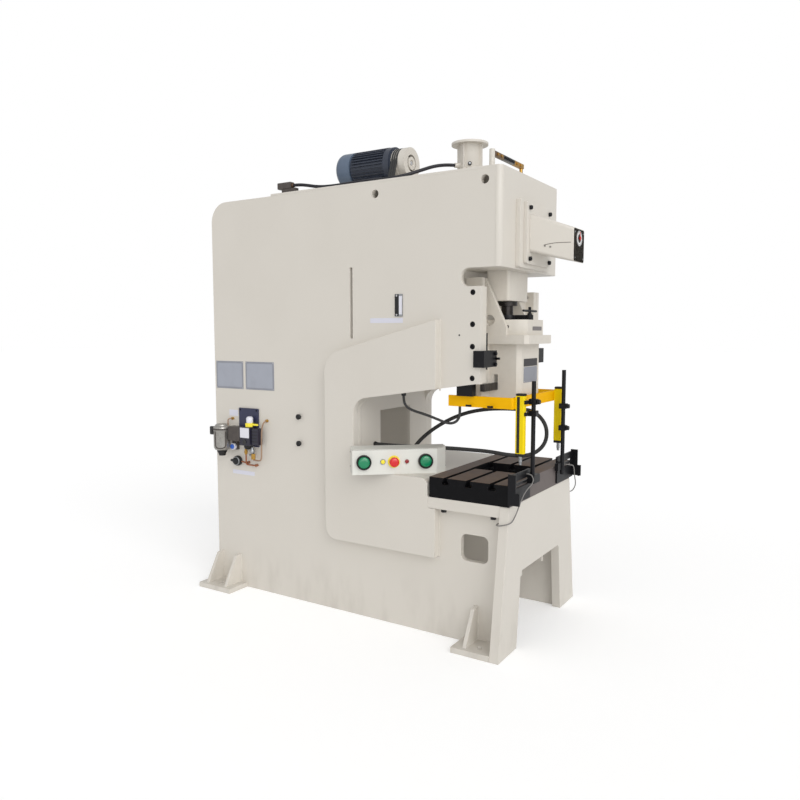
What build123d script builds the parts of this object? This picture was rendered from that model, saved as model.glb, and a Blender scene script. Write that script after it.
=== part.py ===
from build123d import *
import os
from math import acos, cos, pi, radians, sin, tan

os.makedirs("parts", exist_ok=True)

# Mechanical gap-frame stamping press, in millimetres. The origin is on the floor at the centre of
# the base, +Z is up, the front of the press faces -Y and its right-hand side, seen by the
# operator, is +X. Lengths called "depth" are counted backwards from the front face of the bed.

# Frame
base_length = 2056.0        # front of the bed to the rear edge of the rear feet
frame_width = 768.0         # over both side plates
frame_height = 2400.0       # floor to the top plate
side_plate_t = 32.0
top_plate_t = 12.0
rear_overhang = 18.0        # rear feet behind the side plates
rear_corner_r = 118.0
rear_plate_t = 8.0
top_plate_end = 1550.0      # depth where the top plate meets the rear cover

# Crown
crown_depth = 85.0          # front face of the crown
crown_plate_t = 30.0
crown_bottom = 1917.0
crown_corner_r = 28.0
crown_floor_t = 15.0
notch_height = 91.0
notch_end = 302.0
guide_depth = 190.0         # front edges of the side plates beside the slide
lifting_holes = ((173.0, frame_height - 63.0), (815.0, frame_height - 71.0))
lifting_hole_r = 22.0
barring_slot = (966.0, 984.0, 1564.0, 1951.0)
guide_bottom = 1340.0

# Throat
throat_depth = 930.0
throat_drop = 108.0         # fall of the sloping upper edge towards the rear
throat_corner_r = 90.0
throat_low_r = 30.0
ledge_height = 845.0
ledge_depth = 462.0
ledge_corner_r = 40.0
brace_t = 50.0
brace_front = 415.0
brace_rear = 1129.0
brace_bottom = 430.0
brace_top = 1661.0          # height of the brace's sloping edge at its front
brace_slope = 0.264
brace_low_r = 70.0
brace_high_r = 130.0
web_t = 20.0
window_half = 165.0
window_low = 890.0
window_high = 1150.0

# Bed
bed_height = 750.0
bed_plate_t = 58.0
bed_width = 868.0
front_plate_t = 50.0
foot_width = 1086.0
arch_top = 390.0
arch_half_high = 275.0
arch_half_low = 320.0
side_window = (133.0, 287.0, 430.0, 570.0)
side_window_r = 32.0
foot_t = 30.0
foot_gusset_t = 20.0
anchor_x = (foot_width + frame_width) / 4 + 11.5
anchor_inset = 131.0        # anchor holes from both ends of the base
front_foot_depth = 212.0
rear_foot_depth = 262.0
anchor_hole_r = 14.0

# Bolster
bolster_depth = 450.0
bolster_t = 107.0
bolster_hole_x = 224.0
bolster_hole_y = 290.0
slot_neck = 22.0
slot_head = 38.0
slot_neck_depth = 18.0
slot_head_depth = 16.0
slot_pitch = 130.0
slot_count = 3

# Slide and its drive
stroke = 120.0
slide_axis = 217.0          # depth of the slide's centre line
slide_bottom = 1240.0       # at the top of the stroke
slide_front = 79.0
slide_half = 138.0
slide_corner = 22.0
guide_part_front = 252.0
guide_part_half = 235.0
guide_part_rear = 345.0
flange_low = 1538.0
flange_high = 1584.0
flange_front = 25.0
flange_half = 174.0
flange_corner = 20.0
ear_t = 28.0
ear_half = 172.0            # outer faces of the ears
ear_top = 1880.0
ear_foot_front = 146.0
ear_head_front = 267.0
ear_hole_r = 27.0
ear_hole_depth = 238.0
ear_hole_height = 1661.0
ear_brow = 1626.0           # height where the ear's front edge starts to lean back
slide_rear_t = 25.0
shank_r = 25.0
cap_front = 54.0
cap_half = 143.0
cap_corner_x = 36.0
cap_corner_d = 55.0
cap_rear = 300.0
cap_top = 1664.0
ball_r = 50.0
ball_height = 1592.0
ball_gap = 0.3
neck_r = 32.0
neck_gap = 6.0
collar_r = 54.0
collar_t = 24.0
rod_width = 260.0
rod_thick = 130.0
rod_bottom = 1763.0
rod_top_wall = 26.0
rod_corner_r = 14.0
bar_half = 300.0
bar_thick = 24.0
bar_bottom = 1297.0
bar_top = 1335.0
bar_lift = 42.0
bar_play = 0.3
lock_ring_r = 52.0
lock_ring_t = 26.0
lock_screw_depth = 88.0
lock_screw_r = 8.0
lock_bar_half = 88.0
gib_gap = 0.3
gib_front = 240.0           # front of the guided face of a gib
gib_step = 310.0            # the gib is thicker than this half width, up to the side plate
gib_bottom = 1345.0
gib_bolt_depth = 233.0
gib_bolt_heights = (1369.0, 1527.0, 1638.0, 1796.0)
bolt_shank_r = 9.0
bolt_head_r = 13.5
bolt_head_h = 12.0
hole_gap = 0.3

# Crankshaft and gearing
crank_height = frame_height - 295.0
crank_pin_r = 48.0
journal_r = 60.0
cheek_r = 125.0
cheek_t = 28.0
cheek_gap = 2.0
running_gap = 0.05
bush_wall = 14.0
boss_wall = 26.0
pin_slack = 14.0            # room round the crank pin where the linkage is opened
gear_module = 10.0
gear_teeth = 52
pinion_teeth = 18
gear_width = 90.0
gear_front = 402.0
gear_backlash = 1.2
mid_wall_depth = 356.0
rear_wall_depth = gear_front + gear_width + 68.0
wall_t = 30.0
wall_bottom = 1560.0
pinion_shaft_r = 38.0
pinion_shaft_end = 1120.0

# Flywheel, belts and motor
flywheel_r = 330.0
flywheel_front = 800.0
flywheel_width = 200.0
flywheel_rim = 62.0
flywheel_web_t = 40.0
flywheel_hub_r = 92.0
belt_count = 3
belt_pitch = 15.0
belt_top = 13.0
belt_low = 8.0
belt_height = 8.0
belt_gap = 0.3
belt_opening_half = 158.0
motor_height = 161.0        # motor shaft above the top plate
motor_pulley_r = 88.0
motor_pulley_front = 820.0
motor_pulley_width = 88.0
pulley_rim_t = 38.0         # plain rim in front of the belt grooves
pulley_recess_r = 48.0
pulley_hub_r = 36.0
motor_body_r = 92.0
motor_fin_h = 11.0
motor_fin_t = 4.0
motor_fin_count = 36
motor_front = 911.0
motor_shield_length = 45.0  # plain drive end of the motor, before its fins
motor_body_length = 281.0
motor_cowl_length = 110.0
motor_shaft_r = 19.0

# Air reservoir on the top plate
tank_depth = 450.0
tank_height = 221.0
tank_r = 60.0
tank_rib_r = 75.0
tank_flange_r = 100.0

# Front cover and cam box with its angle indicator
cover_half = 209.0
cover_depth = 60.0
cover_low = 1925.0
cover_high = 2262.0
box_base_half = 165.0
box_base_depth = 41.0
box_base_low = 1945.0
box_base_high = 2255.0
box_front_depth = -171.0
box_wall = 4.0
dial_height = 2071.0
dial_r = 39.0

# Guard frame and light curtain
guard_half = 320.0
guard_t = 14.0
guard_front = 38.0
guard_rear = 400.0
guard_low = 1217.0
guard_high = 1274.0
column_x = 271.0
column_w = 30.0
column_d = 46.0
column_low = 992.0
column_high = 1283.0
post_x = 218.0
post_depth = -30.0
post_r = 11.0
left_post = (866.0, 1355.0)
right_post = (812.0, 1392.0)
bracket_t = 10.0
bracket_low = 760.0
bracket_high = 908.0
bracket_inner = 196.0
bracket_outer = 455.0
bracket_slots = ((214.0, 430.0, 834.0, 846.0), (214.0, 430.0, 858.0, 871.0))
flange_shape = ((0.0, 767.0), (-60.0, 767.0), (-60.0, 828.0), (-40.0, 828.0), (-40.0, 918.0), (0.0, 918.0))
post_seat = (838.0, 878.0)
stop_rod_x = 268.0
stop_rod_r = 12.0
stop_rod_low = 1408.0
stop_rod_high = 1595.0
stop_low = 1424.0
stop_high = 1507.0
stop_inner = 250.0
stop_front = 160.0
hanger_depths = (249.0, 337.0)
guard_screw_depths = (152.0, 273.0)
guard_screw_height = 1226.0

# Two-hand control box, standing askew on the left ledge
control_length = 517.0
control_bevel = 60.0        # the box's right-hand end is cut obliquely
control_height = 135.0
control_depth = 140.0
control_corner = (-572.0, 839.0)
control_turn = 49.5         # degrees from the press's front towards its left
control_wall = 3.0
palm_r = 31.0
palm_collar_r = 40.0
palm_at = (62.0, 394.0)     # along the front of the box
start_at = 164.0
estop_at = 223.0
stop_at = 293.0
button_r = 11.0
button_travel = 4.0
estop_r = 26.0
estop_ring_r = 33.0
gland_r = 16.0
gland_length = 14.0
hose_r = 11.0
hose_exit_x = 362.0
hose_exit_z = 80.0
cable_r = 7.0
top_hose_r = 9.0
wire_r = 3.0
pipe_r = 5.0


def at(depth):
    """Row Y of a depth behind the front face of the bed."""
    return depth - base_length / 2


def block(x, depth, z):
    """Box from its ranges in X, depth and Z."""
    size = (x[1] - x[0], depth[1] - depth[0], z[1] - z[0])
    return Pos(x[0], at(depth[0]), z[0]) * Box(*size, align=(Align.MIN, Align.MIN, Align.MIN))


def across(x0, x1, depth, z, r):
    """Cylinder along X."""
    return Pos(x0, at(depth), z) * Rot(0, 90, 0) * Cylinder(r, x1 - x0, align=(Align.CENTER, Align.CENTER, Align.MIN))


def along(depth0, depth1, x, z, r):
    """Cylinder along Y, towards the rear."""
    return Pos(x, at(depth0), z) * Rot(-90, 0, 0) * Cylinder(r, depth1 - depth0, align=(Align.CENTER, Align.CENTER, Align.MIN))


def upright(x, depth, z0, z1, r):
    """Cylinder along Z."""
    return Pos(x, at(depth), z0) * Cylinder(r, z1 - z0, align=(Align.CENTER, Align.CENTER, Align.MIN))


def outline(points, rounds=()):
    """Flat face from points, with some corners rounded."""
    face = make_face(Polyline(*points, close=True)).face()
    for point, radius in rounds:
        corner = face.vertices().sort_by_distance((*point, 0))[0]
        face = face.fillet_2d(radius, [corner])
    return face


def side_profile(points, x0, x1, rounds=()):
    """Plate cut to an outline of (depth, height) points, from x0 to x1."""
    face = outline([(at(d), z) for d, z in points], [((at(d), z), r) for (d, z), r in rounds])
    return extrude(Plane((x0, 0, 0), x_dir=(0, 1, 0), z_dir=(1, 0, 0)) * face, x1 - x0)


def front_profile(points, depth0, depth1, rounds=()):
    """Plate cut to an outline of (x, height) points, between two depths."""
    face = outline(points, rounds)
    return extrude(Plane((0, at(depth1), 0), x_dir=(1, 0, 0), z_dir=(0, -1, 0)) * face, depth1 - depth0)


def top_profile(points, z0, z1, rounds=()):
    """Plate cut to an outline of (x, depth) points, between two heights."""
    face = outline([(x, at(d)) for x, d in points], [((x, at(d)), r) for (x, d), r in rounds])
    return extrude(Plane((0, 0, z0)) * face, z1 - z0)


def both(part):
    """A piece and its mirror image on the other side of the press."""
    return part, mirror(part, about=Plane.YZ)


def save(name, *solids):
    """Write one sub-part, made of one or more separate solids."""
    pieces = [s for part in solids for s in part.solids()]
    export_step(pieces[0] if len(pieces) == 1 else Compound(children=pieces), f"parts/{name}.step")


half = frame_width / 2
inner = half - side_plate_t
side_top = frame_height - top_plate_t
side_rear = base_length - rear_overhang
bed_seat = bed_height - bed_plate_t
crown_back = crown_depth + crown_plate_t
bed_half = bed_width / 2
gib_inner = guide_part_half + gib_gap
throat_rear_z = guide_bottom - throat_drop


def throat_edge():
    """Throat outline from the guide's foot round to the ledge, as points with their radii."""
    points = [(guide_depth + 27, guide_bottom), (throat_depth, throat_rear_z),
              (throat_depth, ledge_height), (ledge_depth, ledge_height)]
    rounds = [(points[1], throat_corner_r), (points[2], throat_low_r), (points[3], ledge_corner_r)]
    return points, rounds


def side_plates():
    """The two flame-cut side plates, with throat, crown notch, windows and lifting holes."""
    throat, rounds = throat_edge()
    notch_low = crown_bottom - notch_height
    points = [(front_plate_t, 0), (side_rear, 0), (side_rear, side_top), (crown_back, side_top),
              (crown_back, crown_bottom), (notch_end, crown_bottom), (notch_end, notch_low),
              (guide_depth, notch_low), (guide_depth, guide_bottom), *throat,
              (ledge_depth, bed_seat), (front_plate_t, bed_seat)]
    rounds = [((side_rear, side_top), rear_corner_r), ((notch_end, crown_bottom), notch_height / 2 - 1),
              ((notch_end, notch_low), notch_height / 2 - 1), *rounds]
    plate = side_profile(points, -half, -inner, rounds)
    d0, d1, z0, z1 = side_window
    corners = [(d0, z0), (d1, z0), (d1, z1), (d0, z1)]
    plate -= side_profile(corners, -half, -inner, [(c, side_window_r) for c in corners])
    for depth, height in lifting_holes:
        plate -= across(-half, -inner, depth, height, lifting_hole_r)
    for height in gib_bolt_heights:
        plate -= across(-half, -inner, gib_bolt_depth, height, bolt_shank_r + hole_gap)
        plate -= across(-half, -half + bolt_head_h + 1, gib_bolt_depth, height, bolt_head_r + 1)
    left, right = both(plate)
    d0, d1, z0, z1 = barring_slot
    save("side_plate_left", left - block((-half, -inner), (d0, d1), (z0, z1)))
    save("side_plate_right", right)


def throat_braces():
    """Thick C-shaped plates welded over the throats."""
    throat, rounds = throat_edge()
    front_low = guide_bottom - throat_drop * (brace_front - guide_depth - 27) / (throat_depth - guide_depth - 27)
    rear_high = brace_top - brace_slope * (brace_rear - brace_front)
    points = [(brace_front, brace_bottom), (brace_rear, brace_bottom), (brace_rear, rear_high),
              (brace_front, brace_top), (brace_front, front_low), *throat[1:],
              (ledge_depth, bed_height + 2), (brace_front, bed_height + 2)]
    rounds = [((brace_rear, brace_bottom), brace_low_r), ((brace_rear, rear_high), brace_high_r), *rounds]
    plate = side_profile(points, -half - brace_t, -half, rounds)
    # The brace clears the bed plate, which is wider than the frame, by a welding gap.
    plate -= block((-bed_half - 1, -half + 1), (brace_front - 1, ledge_depth - 5), (bed_seat - 2, bed_height + 3))
    save("throat_braces", *both(plate))


def bed():
    """Bed front plate with its legs, bed top plate, inner ribs and throat floor."""
    front = front_profile(
        [(-foot_width / 2, 0), (-arch_half_low, 0), (-arch_half_high, arch_top), (arch_half_high, arch_top),
         (arch_half_low, 0), (foot_width / 2, 0), (bed_half, bed_height), (-bed_half, bed_height)],
        0, front_plate_t,
        [((-arch_half_high, arch_top), 25), ((arch_half_high, arch_top), 25),
         ((-bed_half, bed_height), 10), ((bed_half, bed_height), 10)])
    save("bed_front_plate", front)
    hole = block((-bolster_hole_x / 2, bolster_hole_x / 2),
                 (bolster_depth / 2 - bolster_hole_y / 2, bolster_depth / 2 + bolster_hole_y / 2),
                 (bed_seat, bed_height))
    save("bed_top_plate", block((-bed_half, bed_half), (front_plate_t, ledge_depth - 6), (bed_seat, bed_height)) - hole)
    rib = side_profile([(front_plate_t, 320), (330, 320), (420, 420), (420, bed_seat), (front_plate_t, bed_seat)],
                       -160, -140)
    floor = block((-inner, inner), (ledge_depth + 12, throat_depth), (ledge_height - web_t, ledge_height))
    web = block((-inner, inner), (throat_depth, throat_depth + web_t), (wall_bottom / 2, throat_rear_z + 60))
    web -= block((-window_half, window_half), (throat_depth, throat_depth + web_t), (window_low, window_high))
    save("inner_plates", *both(rib), floor, web)


def foot(depth0, depth1, gussets, anchor):
    """Left-hand foot: floor plate with upright gussets against the side plate."""
    plate = block((-foot_width / 2, -half), (depth0, depth1), (0, foot_t))
    plate -= upright(-anchor_x, anchor, 0, foot_t, anchor_hole_r)
    for depth in gussets:
        rib = front_profile([(-half, foot_t), (-foot_width / 2 + 22, foot_t), (-half - 42, 200), (-half, 206)],
                            depth, depth + foot_gusset_t)
        plate += rib
    return plate


def feet():
    """Four welded feet with anchor bolt holes."""
    front_foot = foot(front_plate_t, front_plate_t + front_foot_depth, (186,), anchor_inset)
    rear_gussets = (base_length - 214, base_length - 62)
    rear_foot = foot(base_length - rear_foot_depth, base_length, rear_gussets, base_length - anchor_inset)
    save("feet", *both(front_foot), *both(rear_foot))


def crown():
    """Crown front plate, crown floor, bearing walls, top plate and rear cover."""
    bush_r = journal_r + bush_wall
    front = block((-half, half), (crown_depth, crown_back), (crown_bottom, frame_height))
    front = fillet(front.edges().filter_by(Axis.Z).group_by(Axis.Y)[0], crown_corner_r)
    front -= along(crown_depth, crown_back, 0, crank_height, bush_r)
    save("crown_front_plate", front)
    floor = block((-inner, inner), (crown_back, mid_wall_depth), (crown_bottom, crown_bottom + crown_floor_t))
    floor -= block((-rod_width / 2 - 14, rod_width / 2 + 14),
                   (slide_axis - rod_thick / 2 - 12, slide_axis + rod_thick / 2 + 12),
                   (crown_bottom, crown_bottom + crown_floor_t))
    pinion_z = crank_height - gear_module * (gear_teeth + pinion_teeth) / 2
    walls = []
    for depth in (mid_wall_depth, rear_wall_depth):
        wall = block((-inner, inner), (depth, depth + wall_t), (wall_bottom, side_top))
        wall -= along(depth, depth + wall_t, 0, crank_height, bush_r)
        wall -= along(depth, depth + wall_t, 0, pinion_z, pinion_shaft_r + bush_wall)
        walls.append(wall)
    save("crown_walls", floor, *walls)
    top = block((-half, half), (crown_back, top_plate_end), (side_top, frame_height))
    top -= block((-belt_opening_half, belt_opening_half),
                 (belt_plane() - 42, belt_plane() + 42), (side_top, frame_height))
    save("top_plate", top)
    rear_points = [(side_rear, 60), (side_rear, side_top), (top_plate_end, side_top),
                   (top_plate_end, side_top - rear_plate_t), (side_rear - rear_plate_t, side_top - rear_plate_t),
                   (side_rear - rear_plate_t, 60)]
    cover = side_profile(rear_points, -inner, inner,
                         [(rear_points[1], rear_corner_r), (rear_points[4], rear_corner_r - rear_plate_t)])
    save("rear_cover", cover)


def bolster():
    """Bolster plate with T-slots across it and a drop-through hole."""
    top = bed_height + bolster_t
    plate = block((-bed_half, bed_half), (0, bolster_depth), (bed_height, top))
    plate = fillet(plate.edges().filter_by(Axis.Z), 6)
    middle = bolster_depth / 2
    plate -= block((-bolster_hole_x / 2, bolster_hole_x / 2),
                   (middle - bolster_hole_y / 2, middle + bolster_hole_y / 2), (bed_height, top))
    for i in range(slot_count):
        depth = middle + (i - (slot_count - 1) / 2) * slot_pitch
        low = top - slot_neck_depth - slot_head_depth
        plate -= block((-bed_half, bed_half), (depth - slot_neck / 2, depth + slot_neck / 2), (low, top))
        plate -= block((-bed_half, bed_half), (depth - slot_head / 2, depth + slot_head / 2),
                       (low, low + slot_head_depth))
    save("bolster", plate)


def slide():
    """Slide casting: narrow body, wide guided rear, pierced ears, flange, bar slot and ball socket."""
    nose = top_profile([(-slide_half, guide_part_front), (-slide_half, slide_front), (slide_half, slide_front),
                        (slide_half, guide_part_front)], slide_bottom, flange_low)
    front_edges = nose.edges().filter_by(Axis.Z).group_by(Axis.Y)[0]
    nose = chamfer(front_edges, slide_corner)
    guided = block((-guide_part_half, guide_part_half), (guide_part_front, guide_part_rear), (slide_bottom, flange_high))
    flange = block((-flange_half, flange_half), (flange_front, guide_part_front), (flange_low, flange_high))
    flange = chamfer(flange.edges().filter_by(Axis.Z).group_by(Axis.Y)[0], flange_corner)
    ear = side_profile([(ear_foot_front, flange_high), (guide_part_rear, flange_high), (guide_part_rear, ear_top),
                        (ear_head_front, ear_top), (ear_foot_front, ear_brow)], -ear_half, -ear_half + ear_t)
    ear -= across(-ear_half, -ear_half + ear_t, ear_hole_depth, ear_hole_height, ear_hole_r)
    back = block((-guide_part_half, guide_part_half), (guide_part_rear - slide_rear_t, guide_part_rear),
                 (flange_high, ear_top))
    cheek = block((-guide_part_half, -guide_part_half + ear_t), (guide_part_front, guide_part_rear),
                  (flange_high, ear_top))
    body = nose + guided + flange + back
    for piece in (*both(ear), *both(cheek)):
        body += piece
    body -= Pos(0, at(slide_axis), ball_height) * Sphere(ball_r + ball_gap)
    slot = (bar_bottom - bar_play, bar_top + bar_lift + bar_play)
    body -= block((-slide_half, slide_half), (slide_axis - bar_thick / 2 - bar_play,
                                              slide_axis + bar_thick / 2 + bar_play), slot)
    body -= upright(0, slide_axis, slide_bottom, bar_bottom, shank_r)
    save("slide", body)
    cap = top_profile([(-cap_half, cap_rear), (-cap_half, cap_front + cap_corner_d),
                       (-cap_half + cap_corner_x, cap_front), (cap_half - cap_corner_x, cap_front),
                       (cap_half, cap_front + cap_corner_d), (cap_half, cap_rear)], flange_high, cap_top)
    cap -= Pos(0, at(slide_axis), ball_height) * Sphere(ball_r + ball_gap)
    cap -= upright(0, slide_axis, ball_height, cap_top, neck_r + neck_gap)
    for d in (cap_front + 40, cap_rear - 35):
        for x in (-cap_half + 48, cap_half - 48):
            cap -= upright(x, d, cap_top - 16, cap_top, 10)
    save("ball_seat_cap", cap)
    bar = block((-bar_half, bar_half), (slide_axis - bar_thick / 2, slide_axis + bar_thick / 2),
                (bar_bottom, bar_top))
    save("knockout_bar", chamfer(bar.edges().group_by(Axis.X)[0] + bar.edges().group_by(Axis.X)[-1], 2))
    ring = upright(0, slide_axis, cap_top, cap_top + lock_ring_t, lock_ring_r)
    ring += block((-15, 15), (lock_screw_depth - 15, slide_axis - neck_r - 8), (cap_top, cap_top + lock_ring_t))
    ring += upright(0, lock_screw_depth, cap_top, cap_top + lock_ring_t, 19)
    ring -= upright(0, slide_axis, cap_top, cap_top + lock_ring_t, neck_r + ball_gap)
    ring -= upright(0, lock_screw_depth, cap_top, cap_top + lock_ring_t, lock_screw_r + hole_gap)
    save("lock_ring", ring)
    screw = upright(0, lock_screw_depth, cap_top + 2, cap_top + 68, lock_screw_r)
    screw += upright(0, lock_screw_depth, cap_top + lock_ring_t + 0.3, cap_top + lock_ring_t + 8, 13)
    screw += across(-lock_bar_half, lock_bar_half, lock_screw_depth, cap_top + 47, 6)
    save("lock_screw", screw)


def connection():
    """Connecting rod with its opened big end, and the adjusting screw with its ball."""
    pin_height = crank_height + stroke / 2
    slot_half_h = crank_pin_r + pin_slack
    slot_half_w = crank_pin_r + stroke / 2 + 2
    rod_top = pin_height + slot_half_h + rod_top_wall
    rod = block((-rod_width / 2, rod_width / 2), (slide_axis - rod_thick / 2, slide_axis + rod_thick / 2),
                (rod_bottom, rod_top))
    rod = fillet(rod.edges().filter_by(Axis.Z), rod_corner_r)
    eye = front_profile([(-slot_half_w, pin_height - slot_half_h), (slot_half_w, pin_height - slot_half_h),
                         (slot_half_w, pin_height + slot_half_h), (-slot_half_w, pin_height + slot_half_h)],
                        slide_axis - rod_thick / 2, slide_axis + rod_thick / 2)
    rod -= fillet(eye.edges().filter_by(Axis.Y), slot_half_h - 10)
    rod -= upright(0, slide_axis, rod_bottom, rod_bottom + 120, neck_r)
    save("connecting_rod", rod)
    screw = upright(0, slide_axis, ball_height, rod_bottom + 118, neck_r)
    screw += Pos(0, at(slide_axis), ball_height) * Sphere(ball_r)
    screw += upright(0, slide_axis, rod_bottom - collar_t, rod_bottom, collar_r)
    save("adjusting_screw", screw)


def guides():
    """Gibs between the side plates and the slide, and the bolts that hold them."""
    top = crown_bottom - notch_height
    gib = block((-inner, -gib_inner), (gib_front, guide_part_rear), (gib_bottom, top))
    gib += block((-inner, -gib_step), (guide_depth + 2, gib_front), (gib_bottom, top))
    reach = 40.0
    bolts = []
    for height in gib_bolt_heights:
        gib -= across(-inner, -inner + reach + 5, gib_bolt_depth, height, bolt_shank_r + hole_gap)
        bolt = across(-half + 1, -half + 1 + bolt_head_h, gib_bolt_depth, height, bolt_head_r)
        bolt += across(-half + 1, -inner + reach, gib_bolt_depth, height, bolt_shank_r)
        bolts.extend(both(bolt))
    save("gibs", *both(gib))
    stud = upright(-bed_half + 25, 95, bed_seat - 20, bed_seat, 15)
    bolts.extend(both(stud))
    bolts.extend(both(upright(-bed_half + 25, 375, bed_seat - 20, bed_seat, 15)))
    bolts.extend(both(across(-half - 22, -half, 70, 120, 17)))
    for x, z in ((-134, 1970), (134, 1970), (-134, 2225), (134, 2225)):
        bolts.append(along(box_base_depth - 14, box_base_depth, x, z, 11))
    save("black_bolts", *bolts)


def gear_outline(teeth, centre, phase, root_gap, thin):
    """Straight-sided tooth outline of a spur gear as (x, height) points."""
    pitch_r = gear_module * teeth / 2
    outer_r = pitch_r + gear_module
    root_r = pitch_r - 1.25 * gear_module - root_gap
    step = 2 * pi / teeth
    half_tip = step * 0.11 - thin / outer_r / 2
    half_root = step * 0.36 - thin / root_r / 2
    points = []
    for i in range(teeth):
        middle = phase + i * step
        for r, a in ((root_r, -half_root), (outer_r, -half_tip), (outer_r, half_tip), (root_r, half_root)):
            points.append((centre[0] + r * sin(middle + a), centre[1] + r * cos(middle + a)))
    return points


def drive():
    """Crankshaft, main gear, pinion shaft, bushes, flywheel and belts."""
    pinion_z = crank_height - gear_module * (gear_teeth + pinion_teeth) / 2
    rod_front = slide_axis - rod_thick / 2
    rod_rear = slide_axis + rod_thick / 2
    pin_height = crank_height + stroke / 2
    shaft = along(crown_depth - 10, rod_front - cheek_gap, 0, crank_height, journal_r)
    for d0, d1 in ((rod_front - cheek_gap - cheek_t, rod_front - cheek_gap),
                   (rod_rear + cheek_gap, rod_rear + cheek_gap + cheek_t)):
        shaft += along(d0, d1, 0, crank_height, cheek_r)
    shaft += along(rod_front - cheek_gap, rod_rear + cheek_gap, 0, pin_height, crank_pin_r)
    shaft += along(rod_rear + cheek_gap + cheek_t, rear_wall_depth + wall_t + 20, 0, crank_height, journal_r)
    save("crankshaft", shaft)
    gear = front_profile(gear_outline(gear_teeth, (0, crank_height), 0, 0, 0), gear_front, gear_front + gear_width)
    gear -= along(gear_front, gear_front + gear_width, 0, crank_height, journal_r)
    relief = (gear_width - 36) / 2
    rim_inner = gear_module * gear_teeth / 2 - 3.6 * gear_module
    hub_outer = journal_r + boss_wall + 10
    for d in (gear_front, gear_front + gear_width - relief):
        gear -= along(d, d + relief, 0, crank_height, rim_inner) - along(d, d + relief, 0, crank_height, hub_outer)
    save("main_gear", gear)
    phase = pi / pinion_teeth if pinion_teeth % 2 == 0 else 0.0
    pinion = front_profile(gear_outline(pinion_teeth, (0, pinion_z), phase, 0, gear_backlash),
                           gear_front - 4, gear_front + gear_width + 4)
    pinion += along(mid_wall_depth - 8, pinion_shaft_end, 0, pinion_z, pinion_shaft_r)
    save("pinion_shaft", pinion)
    bushes = []
    for d0, d1, z, r in ((crown_depth, crown_back, crank_height, journal_r),
                         (mid_wall_depth, mid_wall_depth + wall_t, crank_height, journal_r),
                         (rear_wall_depth, rear_wall_depth + wall_t, crank_height, journal_r),
                         (mid_wall_depth, mid_wall_depth + wall_t, pinion_z, pinion_shaft_r),
                         (rear_wall_depth, rear_wall_depth + wall_t, pinion_z, pinion_shaft_r)):
        bushes.append(along(d0, d1, 0, z, r + bush_wall) - along(d0, d1, 0, z, r + running_gap))
    save("bearing_bushes", *bushes)
    flywheel(pinion_z)
    belts(pinion_z)


def groove_ring(centre_z, front, outer_r, depth_in):
    """Rings to cut the belt grooves of a pulley whose rim starts at a depth."""
    rings = []
    for i in range(belt_count):
        middle = front + (i - (belt_count - 1) / 2) * belt_pitch
        top = belt_top / 2 + belt_gap
        low = belt_low / 2 + belt_gap
        face = make_face(Polyline((outer_r - depth_in, middle - low), (outer_r + 1, middle - top),
                                  (outer_r + 1, middle + top), (outer_r - depth_in, middle + low), close=True))
        ring = revolve(Plane.XY * face, Axis.Y)
        rings.append(Pos(0, -base_length / 2, centre_z) * ring)
    return rings


def belt_plane():
    """Depth of the middle of the belts."""
    return motor_pulley_front + (pulley_rim_t + motor_pulley_width) / 2


def flywheel(pinion_z):
    """Flywheel on the pinion shaft, with belt grooves and lightening holes."""
    rear = flywheel_front + flywheel_width
    wheel = along(flywheel_front, rear, 0, pinion_z, flywheel_r)
    pocket = (flywheel_width - flywheel_web_t) / 2
    for d in (flywheel_front, rear - pocket):
        wheel -= along(d, d + pocket, 0, pinion_z, flywheel_r - flywheel_rim) - along(d, d + pocket, 0, pinion_z,
                                                                                      flywheel_hub_r)
    wheel -= along(flywheel_front, rear, 0, pinion_z, pinion_shaft_r + running_gap)
    for ring in groove_ring(pinion_z, belt_plane(), flywheel_r, belt_height + 3):
        wheel -= ring
    hole_ring = (flywheel_r - flywheel_rim + flywheel_hub_r) / 2
    for i in range(6):
        a = radians(60 * i + 30)
        wheel -= along(flywheel_front, rear, hole_ring * sin(a), pinion_z + hole_ring * cos(a), 34)
    save("flywheel", wheel)
    brake = along(rear + 6, pinion_shaft_end - 10, 0, pinion_z, 150)
    brake -= along(rear + 6, pinion_shaft_end - 10, 0, pinion_z, pinion_shaft_r)
    save("clutch_brake", brake)


def belts(pinion_z):
    """V-belts between the motor pulley and the flywheel."""
    motor_z = frame_height + motor_height
    distance = motor_z - pinion_z
    pitch_big = flywheel_r - belt_height
    pitch_small = motor_pulley_r - belt_height
    loops = []
    for i in range(belt_count):
        middle = belt_plane() + (i - (belt_count - 1) / 2) * belt_pitch
        big = belt_loop(pitch_big + belt_gap, pitch_small + belt_gap, distance, pinion_z, middle, belt_height)
        loops.append(big)
    save("v_belts", *loops)


def belt_loop(r_big, r_small, distance, low_z, middle, thick):
    """One V-belt: its trapezoid section swept along an open-belt path."""
    lean = (r_big - r_small) / distance
    flat = (1 - lean * lean) ** 0.5
    low_right = (r_big * flat, low_z + r_big * lean)
    high_right = (r_small * flat, low_z + distance + r_small * lean)
    low_left = (-low_right[0], low_right[1])
    high_left = (-high_right[0], high_right[1])
    plane = Plane((0, at(middle), 0), x_dir=(1, 0, 0), z_dir=(0, -1, 0))
    path = (Line(low_right, high_right) + ThreePointArc(high_right, (0, low_z + distance + r_small), high_left)
            + Line(high_left, low_left) + ThreePointArc(low_left, (0, low_z - r_big), low_right))
    path = plane * Wire(path.edges())
    start = path @ 0
    along_path = path % 0
    outward = along_path.cross(Vector(0, 1, 0))
    if outward.X < 0:
        outward = outward * -1
    section = Plane(start, x_dir=outward, z_dir=along_path) * make_face(
        Polyline((0, -belt_low / 2), (thick, -belt_top / 2), (thick, belt_top / 2), (0, belt_low / 2), close=True))
    return sweep(section, path=path)


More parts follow.
